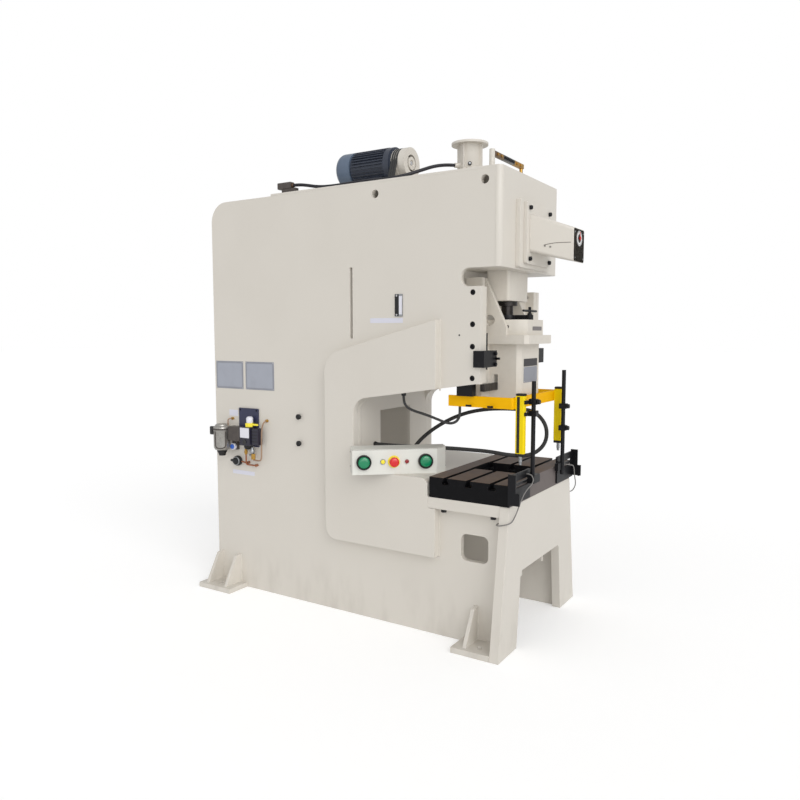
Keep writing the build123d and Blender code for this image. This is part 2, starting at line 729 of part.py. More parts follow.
def motor():
    """Finned motor on its slide base, fan cowl, shaft and belt pulley."""
    z = frame_height + motor_height
    rear = motor_front + motor_body_length
    body = along(motor_front, rear, 0, z, motor_body_r)
    fins = []
    for i in range(motor_fin_count):
        angle = 360 * i / motor_fin_count
        fin = Box(motor_fin_t, motor_body_length - motor_shield_length - 12, motor_fin_h + 6,
                  align=(Align.CENTER, Align.MIN, Align.MIN))
        fins.append(Pos(0, at(motor_front + motor_shield_length), z) * Rot(0, angle, 0)
                    * Pos(0, 0, motor_body_r - 6) * fin)
    body = body + fins
    body += along(motor_front + 8, motor_front + motor_shield_length, 0, z, motor_body_r + motor_fin_h - 2)
    foot_half = 100.0
    foot_low = frame_height + 34
    body += block((-foot_half, foot_half), (motor_front + 60, rear - 60), (foot_low, foot_low + 16))
    body += block((-70, 70), (motor_front + 70, rear - 70), (foot_low, z - 60))
    body -= along(motor_front, rear - 30, 0, z, motor_shaft_r + running_gap)
    save("motor_body", body)
    base = block((-foot_half - 20, foot_half + 20), (motor_front + 40, rear - 40), (frame_height, foot_low))
    base -= block((-foot_half + 30, foot_half - 30), (motor_front + 40, rear - 40), (frame_height, foot_low))
    save("motor_base", base)
    cowl_r = motor_body_r + motor_fin_h
    cowl = along(rear, rear + motor_cowl_length, 0, z, cowl_r)
    cowl = fillet(cowl.edges().group_by(Axis.Y)[-1], 38)
    save("motor_cowl", cowl)
    rotor = along(motor_pulley_front + 6, rear - 32, 0, z, motor_shaft_r)
    pulley_rear = motor_pulley_front + motor_pulley_width
    pulley = along(motor_pulley_front, pulley_rear, 0, z, motor_pulley_r)
    pulley -= along(motor_pulley_front, motor_pulley_front + 24, 0, z, pulley_recess_r) - along(
        motor_pulley_front, motor_pulley_front + 24, 0, z, pulley_hub_r)
    pulley -= along(motor_pulley_front, pulley_rear, 0, z, motor_shaft_r)
    for ring in groove_ring(z, belt_plane(), motor_pulley_r, belt_height + 3):
        pulley -= ring
    save("motor_pulley", pulley, rotor)


def covers():
    """Front cover, cam box on its base, indicator panel and pointer."""
    cover = block((-cover_half, cover_half), (cover_depth, crown_depth), (cover_low, cover_high))
    cover = fillet(cover.edges().filter_by(Axis.Y), 10)
    cover -= along(crown_depth - 12, crown_depth, 0, crank_height, journal_r + 4)
    base = block((-box_base_half, box_base_half), (box_base_depth, cover_depth), (box_base_low, box_base_high))
    save("front_cover", cover, fillet(base.edges().filter_by(Axis.Y), 12))
    box = tapered(0.0, 0.0) - tapered(box_wall, 1.0)
    save("cam_box", box)
    panel = block((-74, 74), (box_front_depth, box_front_depth + 5), (1958, 2113))
    panel = fillet(panel.edges().filter_by(Axis.Y), 12)
    panel += along(box_front_depth - 3, box_front_depth, 0, dial_height, dial_r)
    panel -= along(box_front_depth - 3, box_front_depth + 5, 0, dial_height, 4 + running_gap)
    save("indicator_panel", panel)
    pointer = along(box_front_depth - 9, box_front_depth + 30, 0, dial_height, 4)
    pointer += along(box_front_depth - 9, box_front_depth - 5, 0, dial_height, 9)
    pointer += front_profile([(-2.5, dial_height), (2.5, dial_height), (1, dial_height + 32), (-1, dial_height + 32)],
                             box_front_depth - 7, box_front_depth - 5)
    save("pointer", pointer)


def tapered(inset, beyond):
    """Tapered box from the base plate to the indicator panel, smaller by an inset on each side."""
    faces = []
    for depth, half_w, low, high in ((box_base_depth, 133.0, 2005.0, 2197.0),
                                     (box_front_depth - beyond, 80.0, 1952.0, 2119.0)):
        rim = Plane((0, at(depth), (low + high) / 2), x_dir=(1, 0, 0), z_dir=(0, -1, 0))
        faces.append(rim * RectangleRounded(2 * (half_w - inset), high - low - 2 * inset, 14 - inset))
    return loft(faces)


def guard():
    """Knock-out stops, guard frame, light curtain columns, posts, brackets, clamps and knobs."""
    stop = block((-half - 16, -stop_inner), (stop_front, guide_depth), (stop_low, stop_high))
    stop += block((-gib_step + 4, -stop_inner), (guide_depth, gib_front - 4), (stop_low, stop_high))
    stop += block((-half - 16, -half), (guide_depth, guide_depth + 30), (stop_low, stop_high))
    stop = stop - upright(-stop_rod_x, slide_axis, stop_low, stop_high, stop_rod_r)
    rod = upright(-stop_rod_x, slide_axis, stop_rod_low, stop_rod_high, stop_rod_r)
    screws = [along(stop_front - 10, stop_front, -272, z, 9) for z in (stop_low + 13, stop_high - 16)]
    knob = along(stop_front - 22, stop_front, -262, (stop_low + stop_high) / 2, 6)
    pieces = []
    for piece in (stop, rod, *screws, knob):
        pieces.extend(both(piece))
    save("knockout_stops", *pieces)
    frame = block((-guard_half, guard_half), (guard_front, guard_rear), (guard_low, guard_high))
    frame -= block((-guard_half + guard_t, guard_half - guard_t), (guard_front + guard_t, guard_rear),
                   (guard_low, guard_high))
    frame = fillet(frame.edges().filter_by(Axis.Z).group_by(Axis.Y)[0], 10)
    screw_holes = []
    screws = []
    for depth in guard_screw_depths:
        screw_holes.extend(both(across(-guard_half - 1, -guard_half + guard_t, depth, guard_screw_height, 4.3)))
        screw = across(-guard_half - 16, -guard_half + guard_t, depth, guard_screw_height, 4)
        screw += block((-guard_half - 24, -guard_half - 16), (depth - 15, depth + 15),
                       (guard_screw_height - 5, guard_screw_height + 5))
        screws.extend(both(screw))
    for hole in screw_holes:
        frame -= hole
    save("guard_frame", frame)
    hanger = block((-inner + 2, -guard_half + guard_t), hanger_depths, (guard_high, gib_bottom))
    brackets = [*both(hanger)]
    plate = block((-bracket_outer, -bracket_inner), (-bracket_t, 0), (bracket_low, bracket_high))
    for x0, x1, low, high in bracket_slots:
        plate -= block((-x1, -x0), (-bracket_t, 0), (low, high))
    plate += side_profile(list(flange_shape), -bracket_outer, -bracket_outer + bracket_t)
    left, right = both(plate)
    left += block((-post_x - 17, -post_x + 63), (post_depth - 16, -bracket_t), post_seat)
    left -= upright(-post_x, post_depth, left_post[0], post_seat[1], post_r)
    right += block((post_x - 63, post_x + 17), (post_depth, -bracket_t), post_seat)
    right -= upright(post_x, post_depth, *post_seat, post_r)
    brackets.extend((left, right))
    for side, heights in ((-1, (1193.0, 1252.0)), (1, (1072.0, 1193.0))):
        for z in heights:
            x = side * post_x
            clamp = block((min(x - 17, x + 17), max(x - 17, x + 17)), (post_depth - 20, post_depth + 20), (z - 14, z + 14))
            arm = (x + 10, side * (column_x + column_w / 2)) if side > 0 else (side * (column_x + column_w / 2), x - 10)
            clamp += block(arm, (post_depth + 20 - 12, guard_front - column_d), (z - 9, z + 9))
            clamp -= upright(x, post_depth, z - 14, z + 14, post_r)
            brackets.append(clamp)
    save("guard_brackets", *brackets, *screws)
    save("curtain_posts", upright(-post_x, post_depth, *left_post, post_r),
         upright(post_x, post_depth, *right_post, post_r))
    for name, x, z in (("clamp_knob_left", -post_x, 1252.0), ("clamp_knob_right_low", post_x, 1072.0),
                       ("clamp_knob_right_high", post_x, 1193.0)):
        knob = along(post_depth - 34, post_depth - 23, x, z, 12)
        knob += along(post_depth - 23, post_depth - 20, x, z, 5)
        save(name, knob)
    columns = []
    for x in (-column_x, column_x):
        rear = guard_front
        body = block((x - column_w / 2, x + column_w / 2), (rear - column_d, rear), (column_low, column_high))
        body = chamfer(body.edges().filter_by(Axis.Z).group_by(Axis.Y)[0], 6)
        cap = block((x - column_w / 2 - 2, x + column_w / 2 + 2), (rear - column_d - 2, rear),
                    (column_high, column_high + 12))
        cap = chamfer(cap.edges().group_by(Axis.Z)[-1], 5)
        end = block((x - column_w / 2, x + column_w / 2), (rear - column_d, rear), (column_low - 14, column_low))
        plug = upright(x, rear - column_d / 2, column_low - 58, column_low - 14, 9)
        columns.extend((body, cap, end, plug))
    save("curtain_columns", *columns)


def control_frame():
    """Placement of the control box: origin at its front left bottom corner, X along its front."""
    return Pos(control_corner[0], at(control_corner[1]), ledge_height) * Rot(0, 0, -control_turn)


def control_outline(inset):
    """Plan of the control box, smaller by an inset all round."""
    end = control_length - inset
    rear = control_depth - inset
    shift = inset * tan(pi / 8)
    points = [(inset, inset), (control_length - control_bevel - shift, inset), (end, control_bevel + shift),
              (end, rear), (inset, rear)]
    return make_face(Polyline(*points, close=True))


def front_disc(place, x, z, y0, y1, r):
    """Cylinder on the control box's front, from y0 to y1 in the box's own frame."""
    return place * Pos(x, y0, z) * Rot(-90, 0, 0) * Cylinder(r, y1 - y0, align=(Align.CENTER, Align.CENTER, Align.MIN))


def control():
    """Control box with two palm buttons, emergency stop and two small push buttons."""
    place = control_frame()
    shell = extrude(control_outline(0), control_height)
    shell -= Pos(0, 0, control_wall) * extrude(control_outline(control_wall), control_height - 2 * control_wall)
    shell = place * shell
    middle = control_height / 2
    rings = []
    for name, x in zip(("palm_button_left", "palm_button_right"), palm_at):
        shell -= front_disc(place, x, middle, -1, control_wall + 1, 8 + hole_gap)
        rings.append(front_disc(place, x, middle, -18, 0, palm_collar_r) - front_disc(place, x, middle, -18, 0, palm_r + 1))
        button = front_disc(place, x, middle, -24, -10, palm_r)
        button += front_disc(place, x, middle, -10, control_wall + 12, 8)
        save(name, button)
    for name, x in (("start_button", start_at), ("stop_button", stop_at)):
        shell -= front_disc(place, x, middle, -1, control_wall + 1, button_r + hole_gap)
        save(name, front_disc(place, x, middle, -8, control_wall + 14, button_r))
    shell -= front_disc(place, estop_at, middle, -1, control_wall + 1, 10 + hole_gap)
    ring = front_disc(place, estop_at, middle, -3, 0, estop_ring_r)
    rings.append(ring - front_disc(place, estop_at, middle, -3, 0, 10 + hole_gap))
    stop = front_disc(place, estop_at, middle, -32, -14, estop_r)
    stop += front_disc(place, estop_at, middle, -14, control_wall + 14, 10)
    save("estop_button", stop)
    gland = place * Pos(hose_exit_x, control_depth, hose_exit_z) * Rot(-90, 0, 0) * Cylinder(
        gland_r, gland_length, align=(Align.CENTER, Align.CENTER, Align.MIN))
    save("control_box", shell, *rings, gland)


def cord(points, r, name):
    """Round cord along a route of (x, depth, height) points with a smooth arc at every corner."""
    route = [Vector(x, at(d), z) for x, d, z in points]
    radii = []
    for a, b, c in zip(route, route[1:], route[2:]):
        before, after = b - a, c - b
        turn = acos(max(-1.0, min(1.0, before.dot(after) / (before.length * after.length))))
        radii.append(round(0.45 * min(before.length, after.length) / tan(turn / 2), 2))
    path = FilletPolyline(*route, radius=radii)
    start = Plane(path @ 0, z_dir=path % 0)
    tube = sweep(start * Circle(r), path=path)
    share = tube.volume / (pi * r * r * path.length)
    print(f"CORD {name} length {path.length:.0f} volume share {share:.3f} least radius {min(radii):.0f} radii {radii}")
    return tube


def cords():
    """Control hose, guard cable, top hose and the two signal wires."""
    exit_point = control_frame() * Pos(hose_exit_x, control_depth + gland_length, hose_exit_z)
    first = exit_point.position
    ahead = (control_frame() * Pos(hose_exit_x, control_depth + gland_length + 80, hose_exit_z)).position
    depth_of = base_length / 2
    hose = [(first.X, first.Y + depth_of, first.Z), (ahead.X, ahead.Y + depth_of, ahead.Z), (-65, 742, 960),
            (30, 712, 1020), (122, 645, 1080), (198, 555, 1125), (246, 450, 1146), (262, 352, 1153),
            (262, 258, 1155), (262, 158, 1153), (262, 80, 1076), (260, 80, 970), (225, 149, 898),
            (140, 248, 902), (60, 335, 928), (-22, 430, 942), (-90, 528, 952), (-155, 632, 958),
            (-205, 738, 960), (-224, 830, 960), (-224, throat_depth - gland_length, 960)]
    save("control_hose", cord(hose, hose_r, "control_hose"))
    glands = [along(throat_depth - gland_length, throat_depth, -224, 960, gland_r)]
    cable_x = -half + side_plate_t / 2
    guard_cable = [(cable_x, 645, 1262), (cable_x, 645, 1231), (-362, 630, 1201), (-350, 594, 1182),
                   (-336, 532, 1166), (-325, 462, 1143), (-317, 402, 1122), (-313, 360, 1131), (-313, 338, 1160),
                   (-313, 336.5, 1189), (-313, 336.5, guard_low)]
    gland = upright(cable_x, 645, 1262, 1300, 13)
    slope = throat_drop / (throat_depth - guide_depth - 27)
    edge = [(d, guide_bottom - slope * (d - guide_depth - 27)) for d in (600, 700)]
    glands.append(gland - side_profile([*edge, (700, 1400), (600, 1400)], -half, -inner))
    glands.append(block((-338, -302), (1437, 1539), (frame_height + 31, frame_height + 68))
                  + block((-335, -305), (1403, 1508), (frame_height, frame_height + 31)))
    rest = frame_height + top_hose_r + 0.05
    top_hose = [(-320, 1437, 2448), (-320, 1392, 2448), (-324, 1325, 2437), (-331, 1240, 2418), (-343, 1130, rest),
                (-352, 1010, rest), (-356, 880, rest), (-342, 765, rest), (-300, 680, 2424), (-235, 625, 2455),
                (-165, 580, 2486), (-100.4, 537.2, 2500), (-66.4, 507.7, 2500)]
    left_wire = [(-246, -bracket_t, 888), (-246, -27, 888), (-248, -42, 879), (-252, -50, 860), (-262, -44, 838),
                 (-285, -34, 822), (-308, -27, 804), (-326, -23, 784), (-342, -19, 760), (-357, -15, 735),
                 (-376, -11, 706), (-402, -9, 685), (-438, -12, 676), (-458, 4, 671), (-461, 24, 665),
                 (-459, 44, 660), (-446, 62, 657), (-428, 69, 655.5), (-406, 71.5, 655), (-half, 70, 655)]
    right_wire = [(306, -bracket_t, 852), (306, -27, 852), (313, -43, 850), (331, -53, 846), (358, -48, 834),
                  (388, -42, 812), (408, -37, 784), (436, -31, 754), (464, -26, 730), (480, -21, 704),
                  (482, -13, 682), (474, -4, 667), (458, 4, 664), (446.5, 8, 664)]
    save("cable_glands", *glands)
    save("guard_cable", cord(guard_cable, cable_r, "guard_cable"))
    save("top_hose", cord(top_hose, top_hose_r, "top_hose"))
    save("wire_left", cord(left_wire, wire_r, "wire_left"))
    save("wire_right", cord(right_wire, wire_r, "wire_right"))


def top_units():
    """Air reservoir and oil distributor."""
    tank = upright(0, tank_depth, frame_height, frame_height + tank_height - 12, tank_r)
    tank += upright(0, tank_depth, frame_height + tank_height - 12, frame_height + tank_height, tank_flange_r)
    for i in range(4):
        rib = Pos(tank_r - 4, 0, 0) * Box(tank_rib_r - tank_r + 4, 8, tank_height - 12,
                                          align=(Align.MIN, Align.CENTER, Align.MIN))
        tank += Pos(0, at(tank_depth), frame_height) * Rot(0, 0, 90 * i) * rib
    port = Pos(-66.4, at(507.7), frame_height + 100) * Rot(0, 0, -41) * Rot(0, 90, 0) * Cylinder(
        13, 36, align=(Align.CENTER, Align.CENTER, Align.MIN))
    save("air_reservoir", tank + port)
    low, high = frame_height + 62, frame_height + 86
    bar = block((-300, 60), (158, 180), (low, high))
    posts = [upright(-314, 169, frame_height, high + 6, 14), upright(46, 169, frame_height, low, 9)]
    save("oil_distributor", bar, *posts)


def side_units():
    """Air service unit, sight gauge, plates and small fittings on the left side plate."""
    out = -half
    plate = block((out - 10, out), (1671, 1836), (890, 1135))
    regulator = block((out - 66, out - 10), (1660, 1778), (1000, 1050))
    regulator += upright(out - 38, 1715, 962, 1000, 24)
    regulator += upright(out - 38, 1715, 1050, 1088, 22)
    regulator += along(1778, 1870, out - 38, 1030, 14)
    filter_head = block((out - 82, out - 14), (1870, 1966), (1004, 1040))
    bowl = upright(out - 54, 1922, 869, 1004, 46)
    bowl = fillet(bowl.edges().group_by(Axis.Z)[0], 20)
    valve = block((out - 60, out - 10), (1805, 1870), (925, 1016))
    valve_knob = upright(out - 36, 1840, 893, 925, 18)
    tee = along(1689, 1884, out - 30, 806, 13)
    tee += upright(out - 30, 1780, 806, 890, 9)
    tee += block((out - 30, out), (1770, 1790), (796, 816))
    pipe = cord([(out - 30, 1689, 806), (out - 30, 1664, 806), (out - 30, 1638, 826), (out - 31, 1630, 870),
                 (out - 31, 1628, 940), (out - 32, 1622, 1000), (out - 32, 1612, 1045),
                 (out - 16, 1603, 1066), (out, 1603, 1066)], pipe_r, "copper_pipe")
    save("air_unit", plate, regulator, filter_head, bowl, valve, valve_knob, tee, pipe)
    gauge = block((out - 9, out), (655, 679), (1681, 1799))
    plates = [block((out - 2, out), (1545, 1775), (1250, 1420)), block((out - 2, out), (1795, 2025), (1250, 1420))]
    fittings = [across(out - 22, out, 1336, 1107, 11), across(out - 22, out, 1336, 950, 11)]
    save("side_fittings", gauge, *plates, *fittings)


side_plates()
throat_braces()
bed()
feet()
crown()
bolster()
slide()
connection()
guides()
drive()
motor()
covers()
guard()
control()
cords()
top_units()
side_units()
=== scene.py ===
"""Looks of a gap-frame stamping press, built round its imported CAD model.

The shaping helpers take millimetres as (X, depth, height): the origin of X and height is on the floor
at the centre of the base, -X is the left-hand side of the press and a depth counts backwards from the
front face of the bed. Objects are in metres, in the frame of the CAD model.
"""

import logging
import math
from dataclasses import dataclass
from enum import Enum
from typing import Any, Optional, Sequence, Union

import bmesh
import bpy
from mathutils import Matrix, Vector


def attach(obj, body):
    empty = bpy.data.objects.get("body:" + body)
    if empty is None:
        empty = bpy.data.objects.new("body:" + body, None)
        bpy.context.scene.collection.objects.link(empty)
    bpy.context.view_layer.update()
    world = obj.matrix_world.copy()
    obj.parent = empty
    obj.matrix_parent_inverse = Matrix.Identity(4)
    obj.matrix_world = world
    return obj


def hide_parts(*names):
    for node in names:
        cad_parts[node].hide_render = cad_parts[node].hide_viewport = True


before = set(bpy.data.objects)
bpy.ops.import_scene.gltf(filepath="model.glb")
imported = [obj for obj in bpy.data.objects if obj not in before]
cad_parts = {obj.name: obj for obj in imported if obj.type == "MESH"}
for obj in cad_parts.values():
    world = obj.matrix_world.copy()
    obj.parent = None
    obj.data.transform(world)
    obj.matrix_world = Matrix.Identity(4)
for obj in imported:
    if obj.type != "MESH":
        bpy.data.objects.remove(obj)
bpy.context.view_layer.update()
LOG = logging.getLogger("press")
MM = 0.001
BED_FRONT = 1028.0
HALF_WIDTH = 384.0
FLOOR_EXTENT = 60.0
FLOOR_DUST = (0.52, 0.49, 0.44)
WHITE = (1.0, 1.0, 1.0, 1.0)

Point = tuple[float, float, float]
Span = tuple[float, float]
Colour = tuple[float, float, float]
Number = Union[float, "Value"]


class Way(Enum):
    """Direction in which a turned or extruded form points, in X, depth and height."""

    LEFT = (-1.0, 0.0, 0.0)
    RIGHT = (1.0, 0.0, 0.0)
    FRONT = (0.0, -1.0, 0.0)
    BACK = (0.0, 1.0, 0.0)
    UP = (0.0, 0.0, 1.0)
    DOWN = (0.0, 0.0, -1.0)


Aim = Union[Way, Point]
SIDEWAYS = {-1.0: Way.LEFT, 1.0: Way.RIGHT}


class Pattern(Enum):
    """What the surface of a finish looks like from close by."""

    ENAMEL = "enamel"
    CASTING = "casting"
    BRUSHED = "brushed"
    OILED = "oiled"
    MOULDED = "moulded"
    RUBBER = "rubber"
    BLACKENED = "blackened"


def place(point: Point) -> Vector:
    """Metres in the CAD frame from millimetres of X, depth and height."""
    return Vector((point[0] * MM, (point[1] - BED_FRONT) * MM, point[2] * MM))


def linear(colour: Colour) -> tuple[float, float, float, float]:
    """Scene-linear RGBA of a display colour given as three shares of full strength."""
    parts = [c / 12.92 if c <= 0.04045 else ((c + 0.055) / 1.055) ** 2.4 for c in colour]
    return (parts[0], parts[1], parts[2], 1.0)


class Value:
    """A shader socket that takes part in Python arithmetic by adding Math nodes."""

    def __init__(self, graph: "Graph", socket: bpy.types.NodeSocket) -> None:
        """Keep the graph and the output socket that carries the value."""
        self.graph = graph
        self.socket = socket

    def _math(self, operation: str, *values: Number) -> "Value":
        """Add one Math node.

        Args:
            operation: Blender's name of the operation.
            values: Its inputs, in order.

        Returns:
            The result as a value.
        """
        return self.graph.node("ShaderNodeMath", {"operation": operation}, dict(enumerate(values)))

    def __add__(self, other: Number) -> "Value":
        """Sum."""
        return self._math("ADD", self, other)

    def __radd__(self, other: Number) -> "Value":
        """Sum with a number on the left."""
        return self._math("ADD", other, self)

    def __sub__(self, other: Number) -> "Value":
        """Difference."""
        return self._math("SUBTRACT", self, other)

    def __rsub__(self, other: Number) -> "Value":
        """Difference from a number."""
        return self._math("SUBTRACT", other, self)

    def __mul__(self, other: Number) -> "Value":
        """Product."""
        return self._math("MULTIPLY", self, other)

    def __rmul__(self, other: Number) -> "Value":
        """Product with a number on the left."""
        return self._math("MULTIPLY", other, self)

    def above(self, limit: float) -> "Value":
        """One where the value is over a limit, else nought."""
        return self._math("GREATER_THAN", self, limit)

    def most(self, other: Number) -> "Value":
        """The larger of two values."""
        return self._math("MAXIMUM", self, other)

    def ramp(self, low: float, high: float) -> "Value":
        """The value's smooth rise from nought at low to one at high."""
        return self.graph.node("ShaderNodeMapRange", {"interpolation_type": "SMOOTHSTEP"},
                               {0: self, 1: low, 2: high, 3: 0.0, 4: 1.0})


class Graph:
    """Node tree of one material or of the world."""

    def __init__(self, owner: Union[bpy.types.Material, bpy.types.World]) -> None:
        """Start with an empty tree.

        Args:
            owner: Material or world that gets the tree.
        """
        owner.use_nodes = True
        self.tree = owner.node_tree
        self.tree.nodes.clear()

    def node(self, kind: str, settings: Optional[dict[str, Any]] = None,
             inputs: Optional[dict[Union[int, str], Any]] = None, output: Union[int, str] = 0) -> Value:
        """Add a node.

        Args:
            kind: Blender's type of the node.
            settings: Properties that are set before the inputs.
            inputs: Values or links by socket name or number.
            output: Socket that is handed back.

        Returns:
            The chosen output as a value.
        """
        made = self.tree.nodes.new(kind)
        for key, setting in (settings or {}).items():
            if key == "stops":
                self._stops(made.color_ramp, setting)
            else:
                setattr(made, key, setting)
        for key, value in (inputs or {}).items():
            if isinstance(value, Value):
                self.tree.links.new(value.socket, made.inputs[key])
            else:
                made.inputs[key].default_value = value
        return Value(self, made.outputs[output]) if len(made.outputs) else Value(self, None)

    @staticmethod
    def _stops(ramp: bpy.types.ColorRamp, stops: Sequence[tuple[float, Sequence[float]]]) -> None:
        """Give a colour ramp its stops, in order.

        Args:
            ramp: The ramp of a colour ramp node.
            stops: Position and colour of each stop.
        """
        while len(ramp.elements) < len(stops):
            ramp.elements.new(0.5)
        for element, (position, colour) in zip(ramp.elements, stops):
            element.position = position
            element.color = colour

    def coordinates(self, stretch: Point = (1.0, 1.0, 1.0)) -> Value:
        """Object coordinates, scaled per axis."""
        raw = self.node("ShaderNodeTexCoord", output="Object")
        return self.node("ShaderNodeMapping", None, {"Vector": raw, "Scale": stretch})

    def axis(self, number: int) -> Value:
        """Position along X, Y or Z in metres."""
        raw = self.node("ShaderNodeTexCoord", output="Object")
        return self.node("ShaderNodeSeparateXYZ", None, {0: raw}, output=number)

    def noise(self, scale: float, detail: float = 3.0, stretch: Point = (1.0, 1.0, 1.0),
              roughness: float = 0.5) -> Value:
        """Noise from nought to one on object coordinates."""
        return self.node("ShaderNodeTexNoise", None, {
            "Vector": self.coordinates(stretch), "Scale": scale, "Detail": detail, "Roughness": roughness})

    def mix(self, factor: Number, first: Any, second: Any) -> Value:
        """Colour between two colours."""
        inputs = {0: factor, 6: first, 7: second}
        return self.node("ShaderNodeMix", {"data_type": "RGBA"}, inputs, output=2)

    def bump(self, height: Value, strength: float, distance: float) -> Value:
        """Normal raised by a height."""
        inputs = {"Height": height, "Strength": strength, "Distance": distance}
        return self.node("ShaderNodeBump", None, inputs)

    def surface(self, inputs: dict[str, Any]) -> None:
        """Close the material with one principled shader."""
        shader = self.node("ShaderNodeBsdfPrincipled", None, inputs)
        self.node("ShaderNodeOutputMaterial", None, {"Surface": shader})


@dataclass(frozen=True)
class Finish:
    """A surface finish and how its material is put together."""

    name: str
    colour: Colour
    pattern: Pattern
    roughness: float = 0.45
    metallic: float = 0.0
    coat: float = 0.0
    second: Optional[Colour] = None
    scale: float = 1.0
    relief: float = 1.0
    soil: float = 0.0
    specular: float = 0.5

    def material(self) -> bpy.types.Material:
        """The material of this finish, built once.

        Returns:
            The material, shared by all the pieces in this finish.
        """
        found = bpy.data.materials.get(self.name)
        if not found:
            found = bpy.data.materials.new(self.name)
            self.build(Graph(found))
        return found

    def tones(self) -> tuple[tuple[float, ...], tuple[float, ...]]:
        """The main colour and the one that it varies towards, scene-linear."""
        second = self.second or tuple(c * 0.9 for c in self.colour)
        return linear(self.colour), linear(second)

    def build(self, graph: Graph) -> None:
        """Build the node tree that the pattern asks for, by the method of the same name.

        Args:
            graph: Empty node tree of the material.
        """
        makers = {Pattern.ENAMEL: self.enamel, Pattern.CASTING: self.casting,
                  Pattern.BRUSHED: self.brushed, Pattern.OILED: self.oiled, Pattern.MOULDED: self.moulded,
                  Pattern.RUBBER: self.rubber, Pattern.BLACKENED: self.blackened}
        makers[self.pattern](graph)

    def enamel(self, graph: Graph) -> None:
        """Sprayed enamel: cloudy tone, orange peel, and dust and scuffs near the floor.

        Args:
            graph: Empty node tree of the material.
        """
        main, second = self.tones()
        cloud = graph.noise(2.2 * self.scale, 4.0)
        colour = graph.mix(cloud.ramp(0.35, 0.75) * 0.35, main, second)
        if self.soil:
            low = 1 - graph.axis(2).ramp(0.0, 0.35)
            grime = low * graph.noise(9.0, 5.0, (1.0, 1.0, 0.35)).ramp(0.42, 0.75) * self.soil
            colour = graph.mix(grime, colour, linear(FLOOR_DUST))
        peel = graph.noise(520.0, 2.0)
        wave = graph.noise(14.0, 2.0)
        normal = graph.bump(peel * 0.5 + wave * 3.0, 0.10 * self.relief, 0.0006)
        graph.surface({
            "Base Color": colour, "Roughness": graph.noise(30.0, 3.0) * 0.12 + (self.roughness - 0.06),
            "Metallic": self.metallic, "Coat Weight": self.coat, "Coat Roughness": 0.15, "Normal": normal,
            "Specular IOR Level": self.specular})

    def casting(self, graph: Graph) -> None:
        """Sand casting under paint or oil: soft lumps and fine grain.

        Args:
            graph: Empty node tree of the material.
        """
        main, second = self.tones()
        lump = graph.noise(38.0 * self.scale, 4.0)
        grain = graph.noise(260.0 * self.scale, 3.0)
        colour = graph.mix(lump.ramp(0.3, 0.8) * 0.5, main, second)
        normal = graph.bump(lump * 1.4 + grain * 0.6, 0.25 * self.relief, 0.0012)
        graph.surface({
            "Base Color": colour, "Roughness": grain * 0.2 + (self.roughness - 0.1),
            "Metallic": self.metallic, "Coat Weight": self.coat, "Normal": normal})

    def brushed(self, graph: Graph) -> None:
        """Machined or rolled metal with fine lines along X.

        Args:
            graph: Empty node tree of the material.
        """
        main, second = self.tones()
        lines = graph.noise(60.0 * self.scale, 4.0, (0.6, 22.0, 22.0))
        stain = graph.noise(11.0, 4.0)
        colour = graph.mix(stain.ramp(0.4, 0.8) * 0.45 + lines * 0.2, main, second)
        graph.surface({
            "Base Color": colour, "Roughness": lines * 0.25 + (self.roughness - 0.12),
            "Metallic": self.metallic, "Coat Weight": self.coat,
            "Normal": graph.bump(lines, 0.12 * self.relief, 0.0004)})

    def oiled(self, graph: Graph) -> None:
        """Metal with a thin, blotchy film of oil.

        Args:
            graph: Empty node tree of the material.
        """
        main, second = self.tones()
        blotch = graph.noise(8.0 * self.scale, 5.0, roughness=0.62).ramp(0.38, 0.66)
        fine = graph.noise(150.0, 3.0)
        colour = graph.mix(blotch, main, second)
        graph.surface({
            "Base Color": colour, "Roughness": blotch * 0.18 + fine * 0.12 + (self.roughness - 0.1),
            "Metallic": self.metallic, "Coat Weight": blotch * 0.5, "Coat Roughness": 0.12,
            "Normal": graph.bump(fine, 0.12 * self.relief, 0.0005)})

    def moulded(self, graph: Graph) -> None:
        """Moulded plastic: even colour with a fine spark-eroded grain.

        Args:
            graph: Empty node tree of the material.
        """
        main, second = self.tones()
        grain = graph.noise(700.0 * self.scale, 2.0)
        cloud = graph.noise(25.0, 2.0)
        graph.surface({
            "Base Color": graph.mix(cloud * 0.3, main, second),
            "Roughness": grain * 0.12 + (self.roughness - 0.06), "Coat Weight": self.coat,
            "Coat Roughness": 0.08, "Normal": graph.bump(grain, 0.06 * self.relief, 0.0003)})

    def rubber(self, graph: Graph) -> None:
        """Matt rubber or braided hose cover with dusty high spots.

        Args:
            graph: Empty node tree of the material.
        """
        main, second = self.tones()
        grain = graph.noise(420.0 * self.scale, 3.0)
        dust = graph.noise(18.0, 4.0).ramp(0.5, 0.85)
        graph.surface({
            "Base Color": graph.mix(dust * 0.5, main, second),
            "Roughness": dust * 0.15 + (self.roughness - 0.05),
            "Normal": graph.bump(grain, 0.2 * self.relief, 0.0006)})

    def blackened(self, graph: Graph) -> None:
        """Blackened steel with rubbed, brighter spots.

        Args:
            graph: Empty node tree of the material.
        """
        main, second = self.tones()
        rub = graph.noise(22.0 * self.scale, 5.0, roughness=0.65).ramp(0.56, 0.8)
        fine = graph.noise(190.0, 3.0)
        graph.surface({
            "Base Color": graph.mix(rub * 0.6, main, second),
            "Roughness": fine * 0.2 + (self.roughness - 0.1), "Metallic": self.metallic,
            "Coat Weight": self.coat, "Normal": graph.bump(fine, 0.12 * self.relief, 0.0005)})


